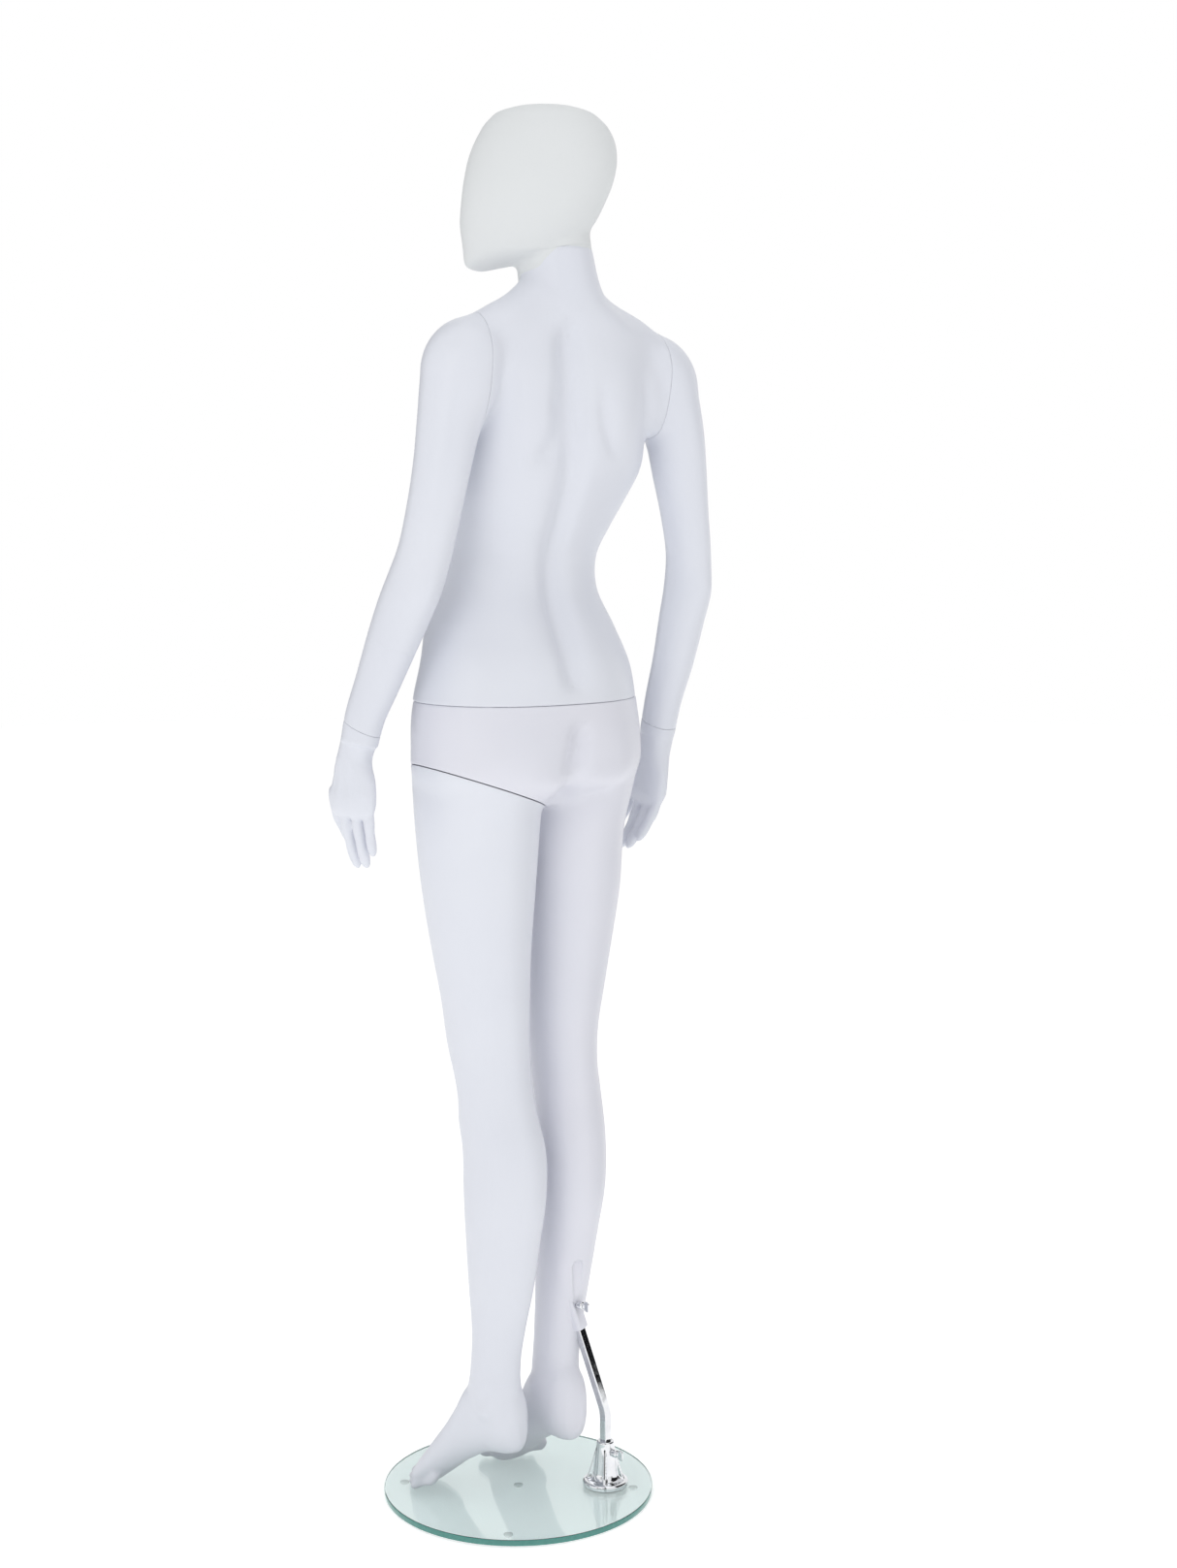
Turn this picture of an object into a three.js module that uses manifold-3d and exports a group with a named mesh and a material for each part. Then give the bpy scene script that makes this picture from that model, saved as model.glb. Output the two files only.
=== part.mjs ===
import * as THREE from 'three';
import { mergeVertices } from 'three/addons/utils/BufferGeometryUtils.js';
import Module from 'manifold-3d';

const wasm = await Module();
wasm.setup();

// Full body display mannequin on a round glass base with a calf rod.
// Millimetres, +Z up, the figure faces -Y and its left side is +X.
// The origin is on the floor, under the centre of the glass disc.

// ---- driving dimensions -------------------------------------------------

const up = new THREE.Vector3(0, 0, 1);
const bodyReach = 2600;          // longer than the whole figure
const gap = 0.3;                 // clearance kept between neighbouring solids
const wall = 4;                  // thickness of the moulded body shells

const padHeight = 2.5;           // clear bumpers under the glass
const padRadius = 6;
const padCircle = 150;
const discRadius = 175;
const discThickness = 8;
const glassTop = padHeight + discThickness;

const flangeAt = new THREE.Vector2(-80, 81);
const flangeRadius = 29.5;
const flangeHeight = 60;
const gasketHeight = 1;
const rodSide = 11;              // square rod
const rodBendZ = 110;            // height where the rod leans towards the calf
const rodEntry = new THREE.Vector3(-48.5, 64, 229);   // where it meets the calf
const rodInsideCalf = 74;

const waistSeam = seamAt([5, 25, 1044], [-0.018, 0, 1]);
const legSeam = seamAt([80, 24, 941], [-0.36, 0.06, 1]);
const neckSeam = seamAt([-18, 55, 1583], [0.08, -0.24, 1]);
const leftWristSeam = seamAt([225.2, -16.7, 1019], [-0.27, 0.37, 1]);
const rightWristSeam = seamAt([-205.5, 43.8, 999], [-0.02, 0.35, 1]);
const shoulderHalf = 133;        // shoulder seams from the middle of the shoulder line
const shoulderTurn = THREE.MathUtils.degToRad(-6);
const shoulderDrop = THREE.MathUtils.degToRad(-3.5);
const shoulderMid = new THREE.Vector3(-24, 64, 1448);
const legSplitX = 4;             // vertical gap between the thighs under the pelvis

// A seam plane between two shells: a point on it and its unit normal.
function seamAt(at, normal) {
  return { at: new THREE.Vector3(...at), normal: new THREE.Vector3(...normal).normalize() };
}

// ---- solids -------------------------------------------------------------

// A solid from a closed geometry, with its faces turned outwards whichever way they were drawn.
function toSolid(geometry) {
  const bare = geometry.index ? geometry.toNonIndexed() : geometry.clone();
  bare.deleteAttribute('normal');
  bare.deleteAttribute('uv');
  const merged = mergeVertices(bare, 1e-4);
  const vertProperties = new Float32Array(merged.attributes.position.array);
  const triVerts = new Uint32Array(merged.index.array);
  const solid = new wasm.Manifold(new wasm.Mesh({ numProp: 3, vertProperties, triVerts }));
  if (solid.volume() > 0) {
    return solid;
  }
  triVerts.reverse();
  return new wasm.Manifold(new wasm.Mesh({ numProp: 3, vertProperties, triVerts }));
}

function toGeometry(solid) {
  const mesh = solid.getMesh();
  const geometry = new THREE.BufferGeometry();
  const position = new THREE.BufferAttribute(new Float32Array(mesh.vertProperties), 3);
  geometry.setAttribute('position', position);
  geometry.setIndex(new THREE.BufferAttribute(new Uint32Array(mesh.triVerts), 1));
  geometry.computeVertexNormals();
  return geometry;
}

// A frame whose +Z is the given direction, placed at a point.
function frameAlong(at, direction, spin = 0) {
  const turn = new THREE.Quaternion().setFromUnitVectors(up, direction.clone().normalize());
  const roll = new THREE.Quaternion().setFromAxisAngle(up, spin);
  return new THREE.Matrix4().compose(at, turn.multiply(roll), new THREE.Vector3(1, 1, 1));
}

function turned(profile, frame, sides = 12) {
  const points = profile.map(([r, z]) => new THREE.Vector2(r, z));
  const geometry = new THREE.LatheGeometry(points, sides);
  geometry.rotateX(Math.PI / 2);
  return toSolid(geometry.applyMatrix4(frame));
}

function block(width, depth, height, frame) {
  return toSolid(new THREE.BoxGeometry(width, depth, height).applyMatrix4(frame));
}

function ball(rx, ry, rz, at, sides = 12) {
  const geometry = new THREE.SphereGeometry(1, sides, sides / 2);
  geometry.scale(rx, ry, rz);
  geometry.translate(at.x, at.y, at.z);
  return toSolid(geometry);
}

// Everything on the side of a plane that its normal points to.
function halfSpace(at, normal) {
  const frame = frameAlong(at, normal);
  frame.multiply(new THREE.Matrix4().makeTranslation(0, 0, bodyReach / 2));
  return block(bodyReach, bodyReach, bodyReach, frame);
}

function leftOf(x) {
  return halfSpace(new THREE.Vector3(x, 0, 0), new THREE.Vector3(1, 0, 0));
}

function higherThan(z) {
  return halfSpace(new THREE.Vector3(0, 0, z), up);
}

// A closed loft: one section per row, each an oval about its own centre.
function loft(sections, sides) {
  const rows = sections.length - 1;
  const geometry = new THREE.CylinderGeometry(1, 1, 1, sides, rows);
  const place = geometry.attributes.position;
  const point = new THREE.Vector3();
  for (let i = 0; i < place.count; i += 1) {
    const row = Math.round((place.getY(i) + 0.5) * rows);
    const section = sections[row];
    const reach = Math.hypot(place.getX(i), place.getZ(i));
    const angle = Math.atan2(-place.getZ(i), place.getX(i));
    const cosine = Math.cos(angle);
    const sine = Math.sin(angle);
    const square = section.square ?? 2;
    const stretch = reach / (Math.abs(cosine) ** square + Math.abs(sine) ** square) ** (1 / square);
    point.copy(section.at);
    point.addScaledVector(section.across, section.a * cosine * stretch);
    point.addScaledVector(section.back, section.b * sine * stretch);
    place.setXYZ(i, point.x, point.y, point.z);
  }
  return toSolid(geometry);
}

// Level sections from rows of [z, x, y, half width, half depth, turn in degrees].
function levelSections(rows, { tilt = 0, square = 2, shrink = 0 } = {}) {
  return rows.map(([z, x, y, a, b, turn = 0]) => {
    const angle = THREE.MathUtils.degToRad(turn);
    const across = new THREE.Vector3(Math.cos(angle), Math.sin(angle), tilt);
    const back = new THREE.Vector3(-Math.sin(angle), Math.cos(angle), 0);
    return { at: new THREE.Vector3(x, y, z), across, back, a: a - shrink, b: b - shrink, square };
  });
}

// Sections square to a bent path, for limbs and fingers.
// Rows hold [x, y, z, half width, half depth]; sideways sets the width's direction.
function pathSections(rows, sideways, shrink = 0) {
  const points = rows.map(([x, y, z]) => new THREE.Vector3(x, y, z));
  return rows.map(([, , , a, b], i) => {
    const before = points[Math.max(i - 1, 0)];
    const after = points[Math.min(i + 1, points.length - 1)];
    const along = after.clone().sub(before).normalize();
    const back = along.clone().cross(sideways).normalize();
    const across = back.clone().cross(along).normalize();
    return { at: points[i], across, back: back.negate(), a: a - shrink, b: b - shrink };
  });
}

// ---- body surfaces ------------------------------------------------------

const torsoRows = [
  [1000, 5, 27, 160, 106],
  [1040, 4, 25, 155, 104],
  [1088, 1, 23, 145, 98],
  [1136, -2, 8, 130, 90],
  [1184, -4, -6, 111, 84.5],
  [1222, -7, -7, 108, 84, -1],
  [1258, -11, 4, 114, 88, -3],
  [1294, -16, 14, 125, 93, -4],
  [1330, -23, 23, 131, 98, -6],
  [1378, -26, 30, 130, 98, -6],
  [1420, -26, 38, 134, 88, -6],
  [1450, -24, 47, 141, 75, -6],
  [1470, -25, 53, 138, 65, -6],
  [1484, -27, 56, 127, 59, -6],
  [1497, -28, 58, 109, 56, -6],
  [1512, -29, 60, 82, 54, -6],
  [1530, -25, 61, 56, 51, -6],
  [1552, -22, 60, 47, 48],
  [1592, -18, 54, 44, 46, 40],
];

const pelvisRows = [
  [920, 8, 24, 100, 62],
  [938, 8, 26, 138, 88],
  [955, 6, 28, 157, 105],
  [985, 5, 28, 159, 107],
  [1040, 4, 25, 155, 104],
  [1065, 3, 26, 150, 101],
];

const leftLegRows = [
  [112, 61, 24, 26, 34, 16],
  [160, 62, 27, 28.5, 36, 16],
  [203, 60, 28, 29, 33, 16],
  [240, 57, 29.5, 31, 35.5, 16],
  [290, 54, 31, 35, 43, 16],
  [356, 51, 32, 39, 50.5, 16],
  [419, 49, 34, 43, 56.5, 16],
  [476, 49, 33, 43.5, 56.5, 16],
  [532, 54, 26, 42, 51, 16],
  [562, 57, 22.5, 42, 51, 16],
  [607, 61, 18, 44, 55.5, 14],
  [670, 66, 18, 50, 59.5, 12],
  [732, 72, 18, 56, 66, 11],
  [800, 76, 18.5, 64, 74, 9],
  [880, 79, 20, 70, 83, 5],
  [930, 81, 23, 74, 88, 0],
  [985, 82, 26, 74, 96, 0],
];

const rightLegRows = [
  [112, -40, 34, 26, 34, -16],
  [160, -38, 30, 29, 37, -16],
  [205, -41, 30, 29.5, 34, -16],
  [240, -44, 31, 31, 36, -16],
  [290, -49, 32, 34, 42, -16],
  [350, -54, 34, 38, 49, -16],
  [415, -58, 36, 43, 57, -16],
  [476, -60, 33.5, 44, 56, -16],
  [536, -60, 27, 42.5, 52, -16],
  [570, -58.5, 22, 42, 55, -15],
  [612, -58, 19, 44.5, 56.5, -13],
  [670, -61, 19, 51, 61, -12],
  [732, -64.5, 20, 57, 68, -11],
  [800, -66, 22, 64, 75, -8],
  [880, -65, 23, 68, 82, -5],
  [930, -68, 25, 72, 88, 0],
  [985, -70, 26, 76, 96, 0],
];

// Feet stand on the ball with a raised heel, ready for a high shoe.
// Rows run from the heel back to the toe tip: [forward, half width, sole, instep].
const footRows = [
  [-29, 9, 88, 130],
  [-23, 19, 76, 150],
  [-8, 28, 69, 160],
  [20, 30, 66, 158],
  [48, 32, 48, 134],
  [76, 36, 24, 90],
  [104, 39.5, 3, 50],
  [120, 38.5, 0.4, 36],
  [136, 34, 1, 27],
  [148, 25, 3, 22],
  [153, 15, 6, 18],
];
const leftHeel = { at: new THREE.Vector2(55, 39), splay: 16 };
const rightHeel = { at: new THREE.Vector2(-32, 55.5), splay: -5 };

const leftArmRows = [
  [88, 52, 1464, 38, 40],
  [102, 51, 1464, 46, 45],
  [119, 50, 1454, 48.5, 47],
  [131, 51, 1424, 45, 44.5],
  [144, 52, 1384, 38, 39],
  [156, 54, 1335, 33.5, 36.5],
  [166, 49, 1278, 31.5, 34.5],
  [174, 38, 1222, 31, 35],
  [180, 29, 1192, 31.5, 37],
  [187, 19, 1163, 31, 37],
  [198, 6, 1120, 28.5, 34],
  [211, -6, 1072, 25.5, 29],
  [222, -15, 1034, 23.5, 25.5],
  [229, -19, 1000, 22, 24],
];

const rightArmRows = [
  [-136, 76, 1449, 38, 40],
  [-150, 77, 1449, 46, 45],
  [-166, 79, 1437, 48.5, 47],
  [-178, 83, 1404, 43, 43.5],
  [-189, 86, 1370, 37, 40],
  [-201, 85, 1318, 33, 36],
  [-211, 84.5, 1265, 29, 32],
  [-220, 82, 1217, 27, 31],
  [-223, 77, 1172, 27.5, 33],
  [-219, 70, 1130, 27, 31],
  [-213, 62, 1080, 25, 28],
  [-206, 51, 1028, 22.5, 25],
  [-204, 42, 985, 21.5, 24],
];

// The head is a smooth egg turned to the figure's left, with a short neck collar.
const headTurn = THREE.MathUtils.degToRad(46);
const headRows = [
  [1564, 76, 8, 8],
  [1567, 73, 19, 18],
  [1573, 61, 36, 34],
  [1583, 36, 62, 51],
  [1597, 30, 69.5, 59],
  [1616, 22, 80, 66],
  [1642, 14, 86.5, 73],
  [1672, 6, 90.5, 76.5],
  [1700, 1, 89, 75],
  [1724, -1.5, 80.5, 69],
  [1741, -1, 68, 58],
  [1754, 0, 46, 40],
  [1759, 0, 22, 19],
];
const headAxis = new THREE.Vector2(-9, 47);

// ---- body blanks --------------------------------------------------------

const torsoOptions = { tilt: 0.045, square: 2.15 };

const torsoBlank = loft(levelSections(torsoRows, torsoOptions), 22)
  .add(ball(50, 40, 52, new THREE.Vector3(-84, -42, 1338)))
  .add(ball(50, 40, 52, new THREE.Vector3(40, -56, 1344)));
const pelvisBlank = loft(levelSections(pelvisRows, { square: 2.15 }), 22);
const leftLegBlank = loft(levelSections(leftLegRows), 16).add(foot(leftHeel));
const rightLegBlank = loft(levelSections(rightLegRows), 16).add(foot(rightHeel));
const leftArmBlank = loft(pathSections([...leftArmRows].reverse(), new THREE.Vector3(1, 0, 0)), 12);
const rightArmBlank = loft(pathSections([...rightArmRows].reverse(), new THREE.Vector3(1, 0, 0)), 12);

function foot({ at, splay }) {
  const angle = THREE.MathUtils.degToRad(splay);
  const forward = new THREE.Vector3(Math.sin(angle), -Math.cos(angle), 0);
  const across = new THREE.Vector3(Math.cos(angle), Math.sin(angle), 0);
  const up = new THREE.Vector3(0, 0, 1);
  const sections = footRows.map(([ahead, half, sole, instep]) => ({
    at: new THREE.Vector3(at.x, at.y, glassTop + (sole + instep) / 2).addScaledVector(forward, ahead),
    across,
    back: up,
    a: half,
    b: (instep - sole) / 2,
    square: 2.3,
  }));
  return loft(sections, 12);
}

// ---- fittings at the seams ---------------------------------------------

// Each joint has a round socket set in one shell and a peg set in the other.
// The seam's normal points from the socket's shell to the peg's shell.
function fitting(seam, { bore, plate, depth }) {
  const frame = frameAlong(seam.at, seam.normal);
  const plateHeight = 6;
  const socket = turned([
    [bore, -gap], [plate, -gap], [plate, -gap - plateHeight], [bore + 4, -gap - plateHeight],
    [bore + 4, -depth], [bore, -depth], [bore, -gap],
  ], frame);
  const pin = bore - 0.4;
  const peg = turned([
    [0, -depth + 1], [pin - 2, -depth + 1], [pin, -depth + 3], [pin, gap], [plate, gap],
    [plate, gap + plateHeight], [0, gap + plateHeight],
  ], frame);
  const ledge = Math.max(plate - 5, bore + 4 + gap);
  const socketSeat = turned([
    [0, 5], [plate + gap, 5], [plate + gap, -gap - plateHeight - gap], [ledge, -gap - plateHeight - gap],
    [ledge, -depth - 1], [0, -depth - 1],
  ], frame);
  const pegSeat = turned([
    [0, 16], [ledge, 16], [ledge, gap + plateHeight + gap], [plate + gap, gap + plateHeight + gap],
    [plate + gap, -5], [0, -5],
  ], frame);
  return { socket, peg, socketSeat, pegSeat };
}

const shoulderLine = new THREE.Vector3(
  Math.cos(shoulderTurn) * Math.cos(shoulderDrop),
  Math.sin(shoulderTurn) * Math.cos(shoulderDrop),
  -Math.sin(shoulderDrop),
);
const leftShoulderSeam = {
  at: shoulderMid.clone().addScaledVector(shoulderLine, shoulderHalf),
  normal: shoulderLine,
};
const rightShoulderSeam = {
  at: shoulderMid.clone().addScaledVector(shoulderLine, -shoulderHalf),
  normal: shoulderLine.clone().negate(),
};

const fittings = {
  neck: fitting(neckSeam, { bore: 10, plate: 30, depth: 26 }),
  leftShoulder: fitting(leftShoulderSeam, { bore: 9, plate: 26, depth: 24 }),
  rightShoulder: fitting(rightShoulderSeam, { bore: 9, plate: 26, depth: 24 }),
  leftWrist: fitting(flipped(leftWristSeam), { bore: 6, plate: 14, depth: 18 }),
  rightWrist: fitting(flipped(rightWristSeam), { bore: 6, plate: 14, depth: 18 }),
  waist: fitting(waistSeam, { bore: 16, plate: 60, depth: 36 }),
  leg: fitting(flipped(legSeam), { bore: 14, plate: 46, depth: 32 }),
};

function flipped({ at, normal }) {
  return { at, normal: normal.clone().negate() };
}

// The two half spaces on either side of a seam, half a gap back from it.
function above({ at, normal }, by = gap) {
  return halfSpace(at.clone().addScaledVector(normal, by), normal);
}

function below({ at, normal }, by = gap) {
  return halfSpace(at.clone().addScaledVector(normal, -by), normal.clone().negate());
}

// ---- shells -------------------------------------------------------------

const seamWall = 10;             // solid thickness left behind each seam face
const shoulderWall = 18;         // more behind the shoulder faces, where the skin curves in
const cavitySides = 8;

// The hollow needs fewer rows than the skin: only those where the shape bends.
function chosen(rows, picks) {
  return picks.map((pick) => rows[pick]);
}

function levelCavity(rows, picks, options = {}) {
  return loft(levelSections(chosen(rows, picks), { ...options, shrink: wall }), cavitySides);
}

function limbCavity(rows, picks) {
  return loft(pathSections(chosen(rows, picks).reverse(), new THREE.Vector3(1, 0, 0), wall), 8);
}

// The shoulder ends of the arms, outside each seam and above the armpit.
const armpitZ = { left: 1392, right: 1378 };
const armpitDrop = 30;           // the arm stays clear of the trunk this far below its armpit

function shoulderZone(seam, bottom, by) {
  return above(seam, by).intersect(higherThan(bottom));
}

const armPicks = [0, 2, 4, 6, 8, 10, 12];

function shoulderShell(blank, rows, shoulder, wrist, bottom, fit, wristFit) {
  const deltoid = torsoBlank.intersect(shoulderZone(shoulder, bottom, gap));
  const inside = below(shoulder, -gap).intersect(higherThan(bottom - armpitDrop));
  const cavity = limbCavity(rows, armPicks)
    .intersect(above(shoulder, seamWall))
    .intersect(above(wrist, seamWall));
  return blank.subtract(inside).add(deltoid)
    .intersect(above(wrist))
    .subtract(cavity)
    .subtract(fit.pegSeat)
    .subtract(wristFit.socketSeat);
}

const torsoPicks = [1, 2, 3, 4, 5, 6, 7, 8, 10, 11, 12, 13, 14, 15, 16, 17, 18];
const torsoCavity = levelCavity(torsoRows, torsoPicks, torsoOptions)
  .intersect(above(waistSeam, seamWall))
  .intersect(below(neckSeam, seamWall))
  .intersect(below(leftShoulderSeam, shoulderWall))
  .intersect(below(rightShoulderSeam, shoulderWall));

const shoulderRoots = leftArmBlank.intersect(below(leftShoulderSeam))
  .add(rightArmBlank.intersect(below(rightShoulderSeam)))
  .intersect(higherThan(armpitZ.right));

// The largest piece of a solid, without the slivers a cut can leave.
function mainBody(solid) {
  return solid.decompose().reduce((best, piece) => (piece.volume() > best.volume() ? piece : best));
}

const torsoShell = mainBody(torsoBlank.add(shoulderRoots)
  .subtract(shoulderZone(leftShoulderSeam, armpitZ.left, -gap))
  .subtract(shoulderZone(rightShoulderSeam, armpitZ.right, -gap))
  .intersect(above(waistSeam))
  .intersect(below(neckSeam))
  .subtract(torsoCavity)
  .subtract(fittings.neck.socketSeat)
  .subtract(fittings.leftShoulder.socketSeat)
  .subtract(fittings.rightShoulder.socketSeat)
  .subtract(fittings.waist.pegSeat));

const leftArmShell = shoulderShell(
  leftArmBlank, leftArmRows, leftShoulderSeam, leftWristSeam, armpitZ.left,
  fittings.leftShoulder, fittings.leftWrist,
);
const rightArmShell = shoulderShell(
  rightArmBlank, rightArmRows, rightShoulderSeam, rightWristSeam, armpitZ.right,
  fittings.rightShoulder, fittings.rightWrist,
);

// ---- pelvis with the right leg, and the left leg ------------------------

const hips = pelvisBlank.add(rightLegBlank).add(leftLegBlank);
const leftLegCavity = levelCavity(leftLegRows, [1, 3, 5, 6, 8, 10, 12, 15])
  .intersect(below(legSeam, seamWall))
  .intersect(higherThan(190));
const leftLegShell = hips.intersect(leftOf(legSplitX + gap))
  .intersect(below(legSeam))
  .subtract(leftLegCavity)
  .subtract(fittings.leg.pegSeat);

const calfSolidZ = 335;          // the right calf is solid below this, around the rod socket
const rightCavity = levelCavity(pelvisRows, [0, 2, 4, 5], { square: 2.15 })
  .add(levelCavity(rightLegRows, [4, 5, 6, 7, 8, 10, 12, 15]))
  .subtract(leftOf(legSplitX - wall - gap).intersect(below(legSeam, -seamWall)))
  .intersect(below(waistSeam, seamWall))
  .intersect(higherThan(calfSolidZ));

// ---- calf rod, its socket in the calf, and the flange -------------------

const rodFoot = new THREE.Vector3(flangeAt.x, flangeAt.y, 0);
const rodBend = rodFoot.clone().setZ(rodBendZ);
const rodLean = rodEntry.clone().sub(rodBend).normalize();
const rodCorner = new THREE.Vector3(-0.766, 0.643, 0);   // the square stands on its edge

// A square bar or hole along a list of points, with its corners kept in line.
function squareAlong(points, side, directions) {
  const half = side / Math.SQRT2;
  const sections = points.map((at, i) => {
    const along = directions[i].clone().normalize();
    const back = along.clone().cross(rodCorner).normalize();
    return { at, across: back.clone().cross(along), back, a: half, b: half };
  });
  return loft(sections, 4);
}

const rodBottomZ = glassTop + gasketHeight + 14;
const bendRadius = 22;
const rodTop = rodEntry.clone().addScaledVector(rodLean, rodInsideCalf);
const bendCurve = new THREE.QuadraticBezierCurve3(
  rodBend.clone().addScaledVector(up, -bendRadius / 2),
  rodBend,
  rodBend.clone().addScaledVector(rodLean, bendRadius / 2),
);
const bendSteps = [0, 0.25, 0.5, 0.75, 1];
const rodPoints = [
  rodFoot.clone().setZ(rodBottomZ),
  ...bendSteps.map((t) => bendCurve.getPoint(t)),
  rodTop,
];
const rodDirections = [up, ...bendSteps.map((t) => bendCurve.getTangent(t)), rodLean];
const calfRod = squareAlong(rodPoints, rodSide, rodDirections);

const socketWall = 2;
const socketInner = rodSide + 0.8;
const socketOuter = socketInner + 2 * socketWall;
const socketLength = 84;

function squareOnRod(side, from, to) {
  const ends = [from, to].map((along) => rodEntry.clone().addScaledVector(rodLean, along));
  return squareAlong(ends, side, [rodLean, rodLean]);
}

const clampHeight = 34;          // along the rod from the entry
const clampOut = rodCorner.clone().applyAxisAngle(up, -Math.PI / 4);   // square to a face of the rod
const clampAt = rodEntry.clone().addScaledVector(rodLean, clampHeight);
const clampFrame = frameAlong(clampAt, clampOut);
const clampRadius = 3;
const bossRadius = 12.5;

// A round hole along a frame's +Z, from its origin.
function drilled(radius, depth, frame) {
  return turned([[0, 0], [radius, 0], [radius, depth], [0, depth]], frame, 16);
}

const clampHole = drilled(clampRadius + gap, 30, clampFrame);
const calfSocket = squareOnRod(socketOuter, -2, socketLength)
  .subtract(squareOnRod(socketInner, -4, socketLength - 4))
  .subtract(clampHole);

const bossFrame = frameAlong(rodEntry, rodLean);
const boss = turned([
  [0, -4], [bossRadius - 3, -4], [bossRadius, -1], [bossRadius, 42], [bossRadius - 3, 45], [0, 45],
], bossFrame);
const pocketAt = new THREE.Vector3(-47, 80, 296);   // hollow above the clamp screw, for fingers
const fingerPocket = block(17, 22, 34, frameAlong(pocketAt, up, THREE.MathUtils.degToRad(8)));

const pelvisShell = hips.add(boss)
  .subtract(leftOf(legSplitX - gap).intersect(below(legSeam, -gap)))
  .intersect(below(waistSeam))
  .subtract(rightCavity)
  .subtract(fittings.waist.socketSeat)
  .subtract(fittings.leg.socketSeat)
  .subtract(squareOnRod(socketOuter + 2 * gap, -30, socketLength + gap))
  .subtract(drilled(clampRadius + 2, 40, clampFrame))
  .subtract(fingerPocket);

// A thumb screw: shank, round collar and a flat wing to grip.
function thumbScrew(frame, { from, collar, wing, radius }) {
  const shank = turned([
    [0, from], [radius, from], [radius, collar], [radius + 2, collar], [radius + 2, collar + 7],
    [radius, collar + 7], [radius, collar + 9], [0, collar + 9],
  ], frame, 12);
  const grip = new THREE.CylinderGeometry(7, 7, 2.6, 12);
  grip.scale(1.1, 1, 0.75);
  grip.rotateZ(Math.PI / 2);
  grip.translate(0, 0, collar + 8 + wing);
  return shank.add(toSolid(grip.applyMatrix4(frame)));
}

const rodFace = rodSide / 2 + 0.6;
const clampScrew = thumbScrew(clampFrame, { from: rodFace + 1, collar: 13.5, wing: 4, radius: clampRadius });

// ---- glass base and flange ----------------------------------------------

const bevel = 1;
const boltRadius = 4;
const boltHead = 9;
const boltHeadHeight = 3.5;

function upright(x, y, z) {
  return new THREE.Matrix4().makeTranslation(x, y, z);
}

const boltSpace = turned([
  [0, padHeight - 1], [boltHead + gap, padHeight - 1], [boltHead + gap, padHeight + boltHeadHeight],
  [boltRadius + gap, padHeight + boltHeadHeight], [boltRadius + gap, 40], [0, 40],
], upright(flangeAt.x, flangeAt.y, 0));

const glassDisc = turned([
  [0, padHeight], [discRadius - bevel, padHeight], [discRadius, padHeight + bevel],
  [discRadius, glassTop - bevel], [discRadius - bevel, glassTop], [0, glassTop],
], upright(0, 0, 0), 48).subtract(boltSpace);

const flangeZ = glassTop + gasketHeight;
const flangeFrame = upright(flangeAt.x, flangeAt.y, flangeZ);
const gasket = turned([
  [boltRadius + 2, gap - gasketHeight], [flangeRadius - 1, gap - gasketHeight],
  [flangeRadius - 1, -gap], [boltRadius + 2, -gap], [boltRadius + 2, gap - gasketHeight],
], flangeFrame, 20);

const flangeFoot = 8;
const ribCount = 4;
const screwHeight = 46;
const screwAt = rodFoot.clone().setZ(flangeZ + screwHeight);
const screwFrame = frameAlong(screwAt, clampOut);

function rib(angle) {
  const outline = new THREE.Shape();
  outline.moveTo(8, flangeFoot - 1);
  outline.lineTo(25, flangeFoot - 1);
  outline.lineTo(24, flangeFoot + 4);
  outline.lineTo(11.5, flangeHeight - 8);
  outline.lineTo(8, flangeHeight - 8);
  const geometry = new THREE.ExtrudeGeometry(outline, { depth: 4, bevelEnabled: false, steps: 1 });
  geometry.translate(0, 0, -2);
  geometry.rotateX(Math.PI / 2);
  geometry.rotateZ(angle);
  return toSolid(geometry.applyMatrix4(flangeFrame));
}

let flange = turned([
  [0, 0], [flangeRadius, 0], [flangeRadius, flangeFoot - 2], [flangeRadius - 2, flangeFoot],
  [20, flangeFoot], [17, flangeFoot + 3], [11, flangeHeight - 4], [11, flangeHeight - 1],
  [10, flangeHeight], [0, flangeHeight],
], flangeFrame, 20);
for (let i = 0; i < ribCount; i += 1) {
  flange = flange.add(rib(((i + 0.5) / ribCount) * 2 * Math.PI));
}
const flangeBore = squareAlong(
  [rodFoot.clone().setZ(rodBottomZ - gap), rodFoot.clone().setZ(flangeZ + flangeHeight + 5)],
  rodSide + 0.8,
  [up, up],
);
flange = flange.subtract(flangeBore)
  .subtract(boltSpace.subtract(higherThan(flangeZ + 10)))
  .subtract(drilled(clampRadius + gap, 40, screwFrame));

const flangeScrew = thumbScrew(screwFrame, { from: rodFace + 1, collar: 13, wing: 4, radius: clampRadius });
const flangeBolt = turned([
  [0, padHeight + 0.5], [boltHead, padHeight + 0.5], [boltHead, padHeight + boltHeadHeight - gap],
  [boltRadius, padHeight + boltHeadHeight - gap], [boltRadius, flangeZ + 9], [0, flangeZ + 9],
], upright(flangeAt.x, flangeAt.y, 0), 12);

// ---- head ---------------------------------------------------------------

const headForward = new THREE.Vector3(Math.sin(headTurn), -Math.cos(headTurn), 0);
const headSide = new THREE.Vector3(Math.cos(headTurn), Math.sin(headTurn), 0);

function headSections(shrink) {
  return headRows.map(([z, ahead, length, width]) => ({
    at: new THREE.Vector3(headAxis.x, headAxis.y, z).addScaledVector(headForward, ahead),
    across: headSide,
    back: headForward.clone().negate(),
    a: width - shrink,
    b: length - shrink,
    square: 2.1,
  }));
}

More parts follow.
